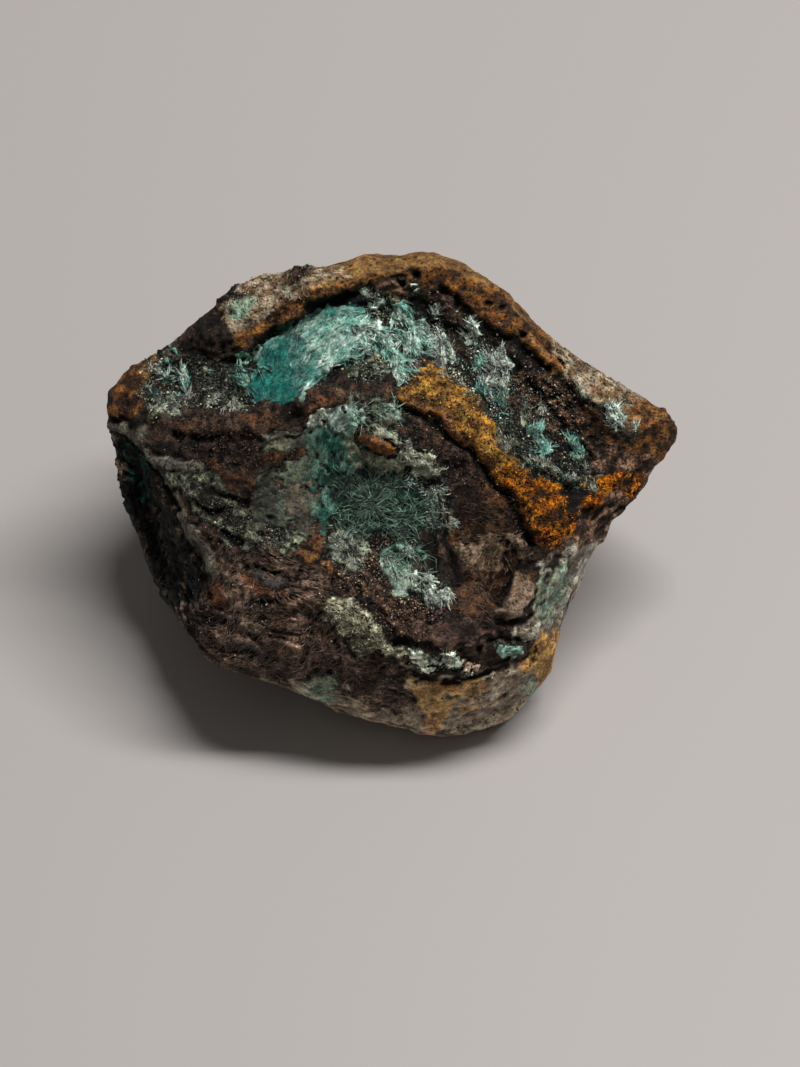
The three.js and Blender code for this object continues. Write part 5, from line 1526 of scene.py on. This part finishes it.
# How many, their sizes in mm, their colour, another colour and its share, and the outline.
GRAIN_FIELDS = (
    # Tiny pale grains over the whole face, standing for glints: painted highlights.
    (1200, (0.1, 0.24), (164, 158, 146), (124, 102, 82), 0.4, drawn(120, 420, 150, 360, 235, 345, 300, 300,
        400, 275, 470, 290, 560, 360, 640, 420, 600, 500, 560, 560, 540, 640, 430, 700, 300, 690, 200, 640,
        150, 540)),
    (1500, (0.15, 0.6), (86, 62, 50), (164, 140, 120), 0.25, drawn(332, 560, 352, 572, 368, 566, 374, 546,
        390, 545, 400, 590, 432, 606, 454, 600, 448, 626, 412, 646, 396, 640, 366, 606, 336, 590)),
    (700, (0.2, 0.7), (84, 72, 64), (180, 174, 160), 0.25, drawn(512, 380, 534, 368, 556, 374, 574, 392,
        586, 412, 582, 430, 556, 436, 524, 420)),
    (1300, (0.15, 0.6), (56, 45, 40), (150, 148, 130), 0.18, drawn(430, 294, 456, 298, 510, 340, 556, 366,
        592, 410, 602, 440, 596, 480, 556, 484, 510, 448, 480, 402, 430, 352)),
    (450, (0.15, 0.5), (150, 148, 116), (220, 220, 196), 0.5, drawn(434, 362, 452, 366, 470, 382, 480, 402,
        464, 394, 444, 378)),
    (500, (0.15, 0.55), (110, 106, 84), (198, 200, 174), 0.4, drawn(142, 362, 158, 358, 164, 386, 192, 394,
        196, 410, 180, 418, 150, 420, 140, 396)),
    (400, (0.2, 0.5), (60, 54, 50), (110, 112, 98), 0.2, drawn(184, 352, 206, 352, 236, 366, 246, 392,
        214, 396, 192, 386)),
    (300, (0.15, 0.45), (98, 96, 80), (160, 160, 138), 0.3, drawn(200, 500, 226, 500, 256, 506, 262, 530,
        250, 549, 226, 544, 206, 524)),
    (500, (0.15, 0.4), (176, 178, 156), (188, 164, 134), 0.4, drawn(220, 310, 234, 290, 270, 272, 340, 272,
        320, 290, 262, 314, 228, 330)),
    (400, (0.15, 0.35), (170, 180, 160), (150, 120, 92), 0.4, drawn(560, 350, 600, 372, 640, 398, 630, 430,
        600, 404, 576, 388)),
    (700, (0.15, 0.5), (82, 64, 56), (140, 128, 108), 0.2, drawn(410, 408, 446, 424, 480, 452, 512, 494,
        500, 500, 470, 486, 440, 478, 416, 452, 404, 430)),
    (500, (0.15, 0.5), (176, 180, 154), (96, 106, 86), 0.4, UPPER_GRANULES),
    (600, (0.15, 0.5), (168, 176, 152), (80, 92, 74), 0.4, UPPER_FOOT),
    (350, (0.15, 0.45), (168, 174, 154), (70, 80, 66), 0.5, LEFT_FOOT),
    (250, (0.15, 0.4), (120, 130, 112), (60, 66, 54), 0.5, LEFT_SCATTER),
    (1800, (0.1, 0.36), (196, 158, 98), (84, 58, 30), 0.5, drawn(424, 360, 438, 372, 467, 397, 488, 420,
        510, 458, 536, 478, 528, 492, 500, 480, 474, 447, 444, 419, 398, 398)),
    (800, (0.12, 0.45), (196, 124, 46), (50, 30, 16), 0.5, drawn(500, 458, 524, 475, 556, 487, 575, 516,
        556, 548, 533, 544, 517, 500)),
    (600, (0.12, 0.4), (150, 130, 114), (190, 184, 168), 0.25, drawn(190, 580, 262, 556, 330, 590,
        380, 660, 330, 690, 230, 664, 190, 630)),
    (500, (0.12, 0.36), (150, 132, 114), (214, 206, 192), 0.4, drawn(336, 566, 374, 550, 396, 596,
        440, 606, 446, 622, 402, 640, 366, 606)),
    (700, (0.12, 0.36), (222, 218, 190), (150, 148, 118), 0.3, drawn(330, 604, 350, 602, 380, 630,
        403, 654, 390, 662, 366, 648, 336, 626)),
    (600, (0.12, 0.4), (224, 228, 212), (150, 172, 156), 0.3, drawn(404, 650, 430, 652, 464, 656, 480, 664,
        440, 672, 412, 666)),
    (350, (0.12, 0.36), (176, 176, 156), (120, 124, 106), 0.4, drawn(250, 520, 280, 528, 304, 536,
        290, 551, 258, 546)),
    (450, (0.12, 0.45), (206, 216, 196), (110, 150, 136), 0.4, drawn(432, 324, 456, 330, 464, 364,
        484, 400, 466, 396, 438, 364)),
    (900, (0.12, 0.45), (210, 220, 204), (96, 150, 138), 0.4, drawn(466, 322, 494, 344, 516, 362, 510, 396,
        512, 440, 498, 424, 480, 398, 470, 350)),
    (500, (0.12, 0.45), (150, 160, 136), (70, 130, 118), 0.5, drawn(530, 424, 552, 420, 590, 444, 596, 490,
        560, 486, 512, 458, 500, 432, 528, 450)),
    (800, (0.12, 0.34), (140, 118, 98), (206, 198, 180), 0.4, LOBE_TOP),
    (600, (0.12, 0.4), (36, 29, 24), (128, 146, 124), 0.4, LOBE_TOP),
    (900, (0.2, 0.5), (90, 70, 58), (36, 28, 24), 0.4, drawn(160, 420, 240, 426, 262, 440, 300, 446,
        262, 470, 210, 470, 176, 446)),
)


STRETCH = (0.35, 1.35)  # how long a grain's axes are, as shares of its size
CORNER_SHADES = (0.7, 1.2)


def granule_mesh(middles, sizes, colours):
    """Eight-sided grains, each turned and stretched its own way."""
    count = len(middles)
    first = dice.standard_normal((count, 3))
    second = np.cross(first, dice.standard_normal((count, 3)))
    axes = [first, second, np.cross(first, second)]
    spokes = []
    for axis in axes:
        axis = axis / np.linalg.norm(axis, axis=1, keepdims=True)
        reach = 0.5 * sizes * dice.uniform(*STRETCH, count)
        spokes += [reach[:, None] * axis, -reach[:, None] * axis]
    points = (middles[:, None] + np.stack(spokes, axis=1)).reshape(-1, 3)
    start = 6 * np.arange(count)[:, None]
    corners = [
        (a, b, c) if (a + b + c) % 2 == 0 else (a, c, b) for a in (0, 1) for b in (2, 3) for c in (4, 5)
    ]
    faces = np.concatenate([start + np.array(face) for face in corners])
    shades = colours[:, None] * dice.uniform(*CORNER_SHADES, (count, 6, 1))
    return points, faces, shades.reshape(-1, 3)


FIELD_EDGE = 6  # plan units over which a field of grains thins out
FIELD_REACH = 8  # plan units that its grains may lie past its outline
GRAIN_SHADES = (0.3, 1.7)
GRAIN_SCATTER = 0.12  # mm off the rock's own points
dice = np.random.default_rng(10)
middles, sizes, colours = [], [], []
for count, (small, large), colour, other, share, outline in GRAIN_FIELDS:
    chosen = close_by(face_x, face_y, outline, FIELD_REACH)
    chosen = chosen[on_face[chosen] > 0.5]
    depth = inside(face_x[chosen], face_y[chosen], outline) / FIELD_EDGE
    depth += 1.4 * rough(surface.points[chosen], 1.6, 3, 141)
    chosen = chosen[depth > 0]
    chosen = dice.choice(chosen, min(count, len(chosen)), replace=False)
    sizes.append(small + (large - small) * dice.random(len(chosen)) ** 3)
    pale = dice.random((len(chosen), 1)) < share
    shade = dice.uniform(*GRAIN_SHADES, (len(chosen), 1))
    colours.append(np.where(pale, linear(other), linear(colour)) * shade)
    middles.append(surface.points[chosen] + dice.normal(0, GRAIN_SCATTER, (len(chosen), 3)))
middles, sizes, colours = (np.concatenate(part) for part in (middles, sizes, colours))
points, faces, colours = granule_mesh(middles, sizes, colours)
grain_mesh = mesh_of("rock_grains", points, (faces,))
keep(grain_mesh, "tint", colours, "FLOAT_COLOR")
rock_grain, nodes, shader = new_material("rock_grain")
grain = nodes.effect(grain_group, {
    "Colour": nodes.kept("tint", "Color"), "Grain Scale": 5000, "Contrast": 0.8,
})
nodes.feed(shader.inputs["Base Color"], grain["Colour"])
shader.inputs["Roughness"].default_value = 0.4
grain_mesh.materials.append(rock_grain)
rock_grains = placed("rock_grains", grain_mesh)
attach(rock_grains, "root")


# ---- The hair of the lower face -----------------------------------------------------------------
# Brown-grey mineral fibres, part of the iron ore and grown fast to it, combed over the lower left
# of the broken face in long wavy strands.

HAIRY_PARTS = (  # how many, which way they lie in degrees, and the outline
    (1300, 15, drawn(188, 610, 215, 614, 262, 610, 300, 590, 335, 594, 360, 630, 390, 668, 350, 694,
        300, 680, 262, 672, 212, 664, 184, 630)),
    (220, 10, drawn(262, 552, 300, 564, 330, 584, 300, 600, 262, 602, 226, 608, 200, 596, 214, 562)),
    (220, 70, drawn(456, 500, 500, 494, 516, 540, 512, 580, 478, 600, 456, 560)),
    (160, -30, drawn(452, 590, 476, 580, 504, 612, 480, 622, 454, 612)),
)
lower_face = Bed([outline for *_, outline in HAIRY_PARTS], 11)
HAIR_LIGHT = 1.15  # against the rock under it
HAIR_WAVE, HAIR_STRAY = 80, 14  # degrees that it turns from place to place, and each by itself
lower_face.colour = lower_face.colour * HAIR_LIGHT
hairs = []
for count, angle, outline in HAIRY_PARTS:
    roots = lower_face.places_in(outline, count, 6)
    spots = lower_face.over(roots, 0.0)
    wave = HAIR_WAVE * swells(spots, 6.0, 151)
    turned = np.radians(angle + wave + HAIR_STRAY * lower_face.dice.standard_normal(len(roots)))
    shade = 0.6 + 0.9 * lattice_shade(spots)
    hairs.append(laid(lower_face, "brown hair", roots, turned, shade))
points, faces, colours = needle_mesh(hairs, lower_face.dice)
hair_mesh = mesh_of("lower_hair", points, (faces,))
keep(hair_mesh, "tint", colours, "FLOAT_COLOR")
hair_mesh.materials.append(rock_grain)
lower_hair = placed("lower_hair", hair_mesh)
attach(lower_hair, "root")


# ---- The table, the light and the camera -------------------------------------------------------
# The stone lies on a plain pale table top, in soft light that falls from behind and to the right,
# and is looked at square to its broken face.

TABLE_HALF = 1.5  # m
table_mesh = bpy.data.meshes.new("table_top")
table_mesh.from_pydata(
    [(x * TABLE_HALF, y * TABLE_HALF, 0) for x, y in ((-1, -1), (1, -1), (1, 1), (-1, 1))],
    [], [(0, 1, 2, 3)])
table_paint, nodes, shader = new_material("table_paint")
shader.inputs["Base Color"].default_value = (0.48, 0.455, 0.44, 1)
table_mesh.materials.append(table_paint)
table = placed("table_top", table_mesh)

LIGHT_PLACE = Vector((0.32, 0.17, 1.0))  # m
LIGHT_AIM = Vector((0, 0, 0.02))
light = bpy.data.lights.new("strip_light", "AREA")
light.shape = "RECTANGLE"
light.size = 0.75  # m, level with the table's x
light.size_y = 0.12
light.energy = 11.1  # W
light.color = (1.0, 0.98, 0.965)
strip_light = placed("strip_light", light)
away = (LIGHT_PLACE - LIGHT_AIM).normalized()
level = (Vector((1, 0, 0)) - away * away.x).normalized()
turned = Matrix((level, away.cross(level), away)).transposed().to_4x4()
strip_light.matrix_world = Matrix.Translation(LIGHT_PLACE) @ turned
world = bpy.data.worlds.new("room")
world.use_nodes = True
background = world.node_tree.nodes["Background"]
background.inputs["Color"].default_value = (1.0, 0.97, 0.94, 1)
background.inputs["Strength"].default_value = 0.112
bpy.context.scene.world = world
bpy.context.scene.view_settings.view_transform = "Standard"

SENSOR = 36.0  # mm
camera_data = bpy.data.cameras.new("camera")
camera_data.sensor_fit = "VERTICAL"
camera_data.sensor_height = SENSOR
camera_data.lens = SENSOR * VIEW_DISTANCE / (PLAN_SIZE[1] * PLAN_UNIT)
camera = placed("camera", camera_data)
aim_across = (PLAN_SIZE[0] / 2 - PLAN_MIDDLE[0]) * PLAN_UNIT
aim_up = (PLAN_MIDDLE[1] - PLAN_SIZE[1] / 2) * PLAN_UNIT
aim = FACE_MIDDLE + aim_across * ACROSS + aim_up * UP
eye = (aim + VIEW_DISTANCE * OUT) * MM
camera.matrix_world = Matrix((*zip(ACROSS, UP, OUT, eye), (0, 0, 0, 1)))
bpy.context.scene.camera = camera
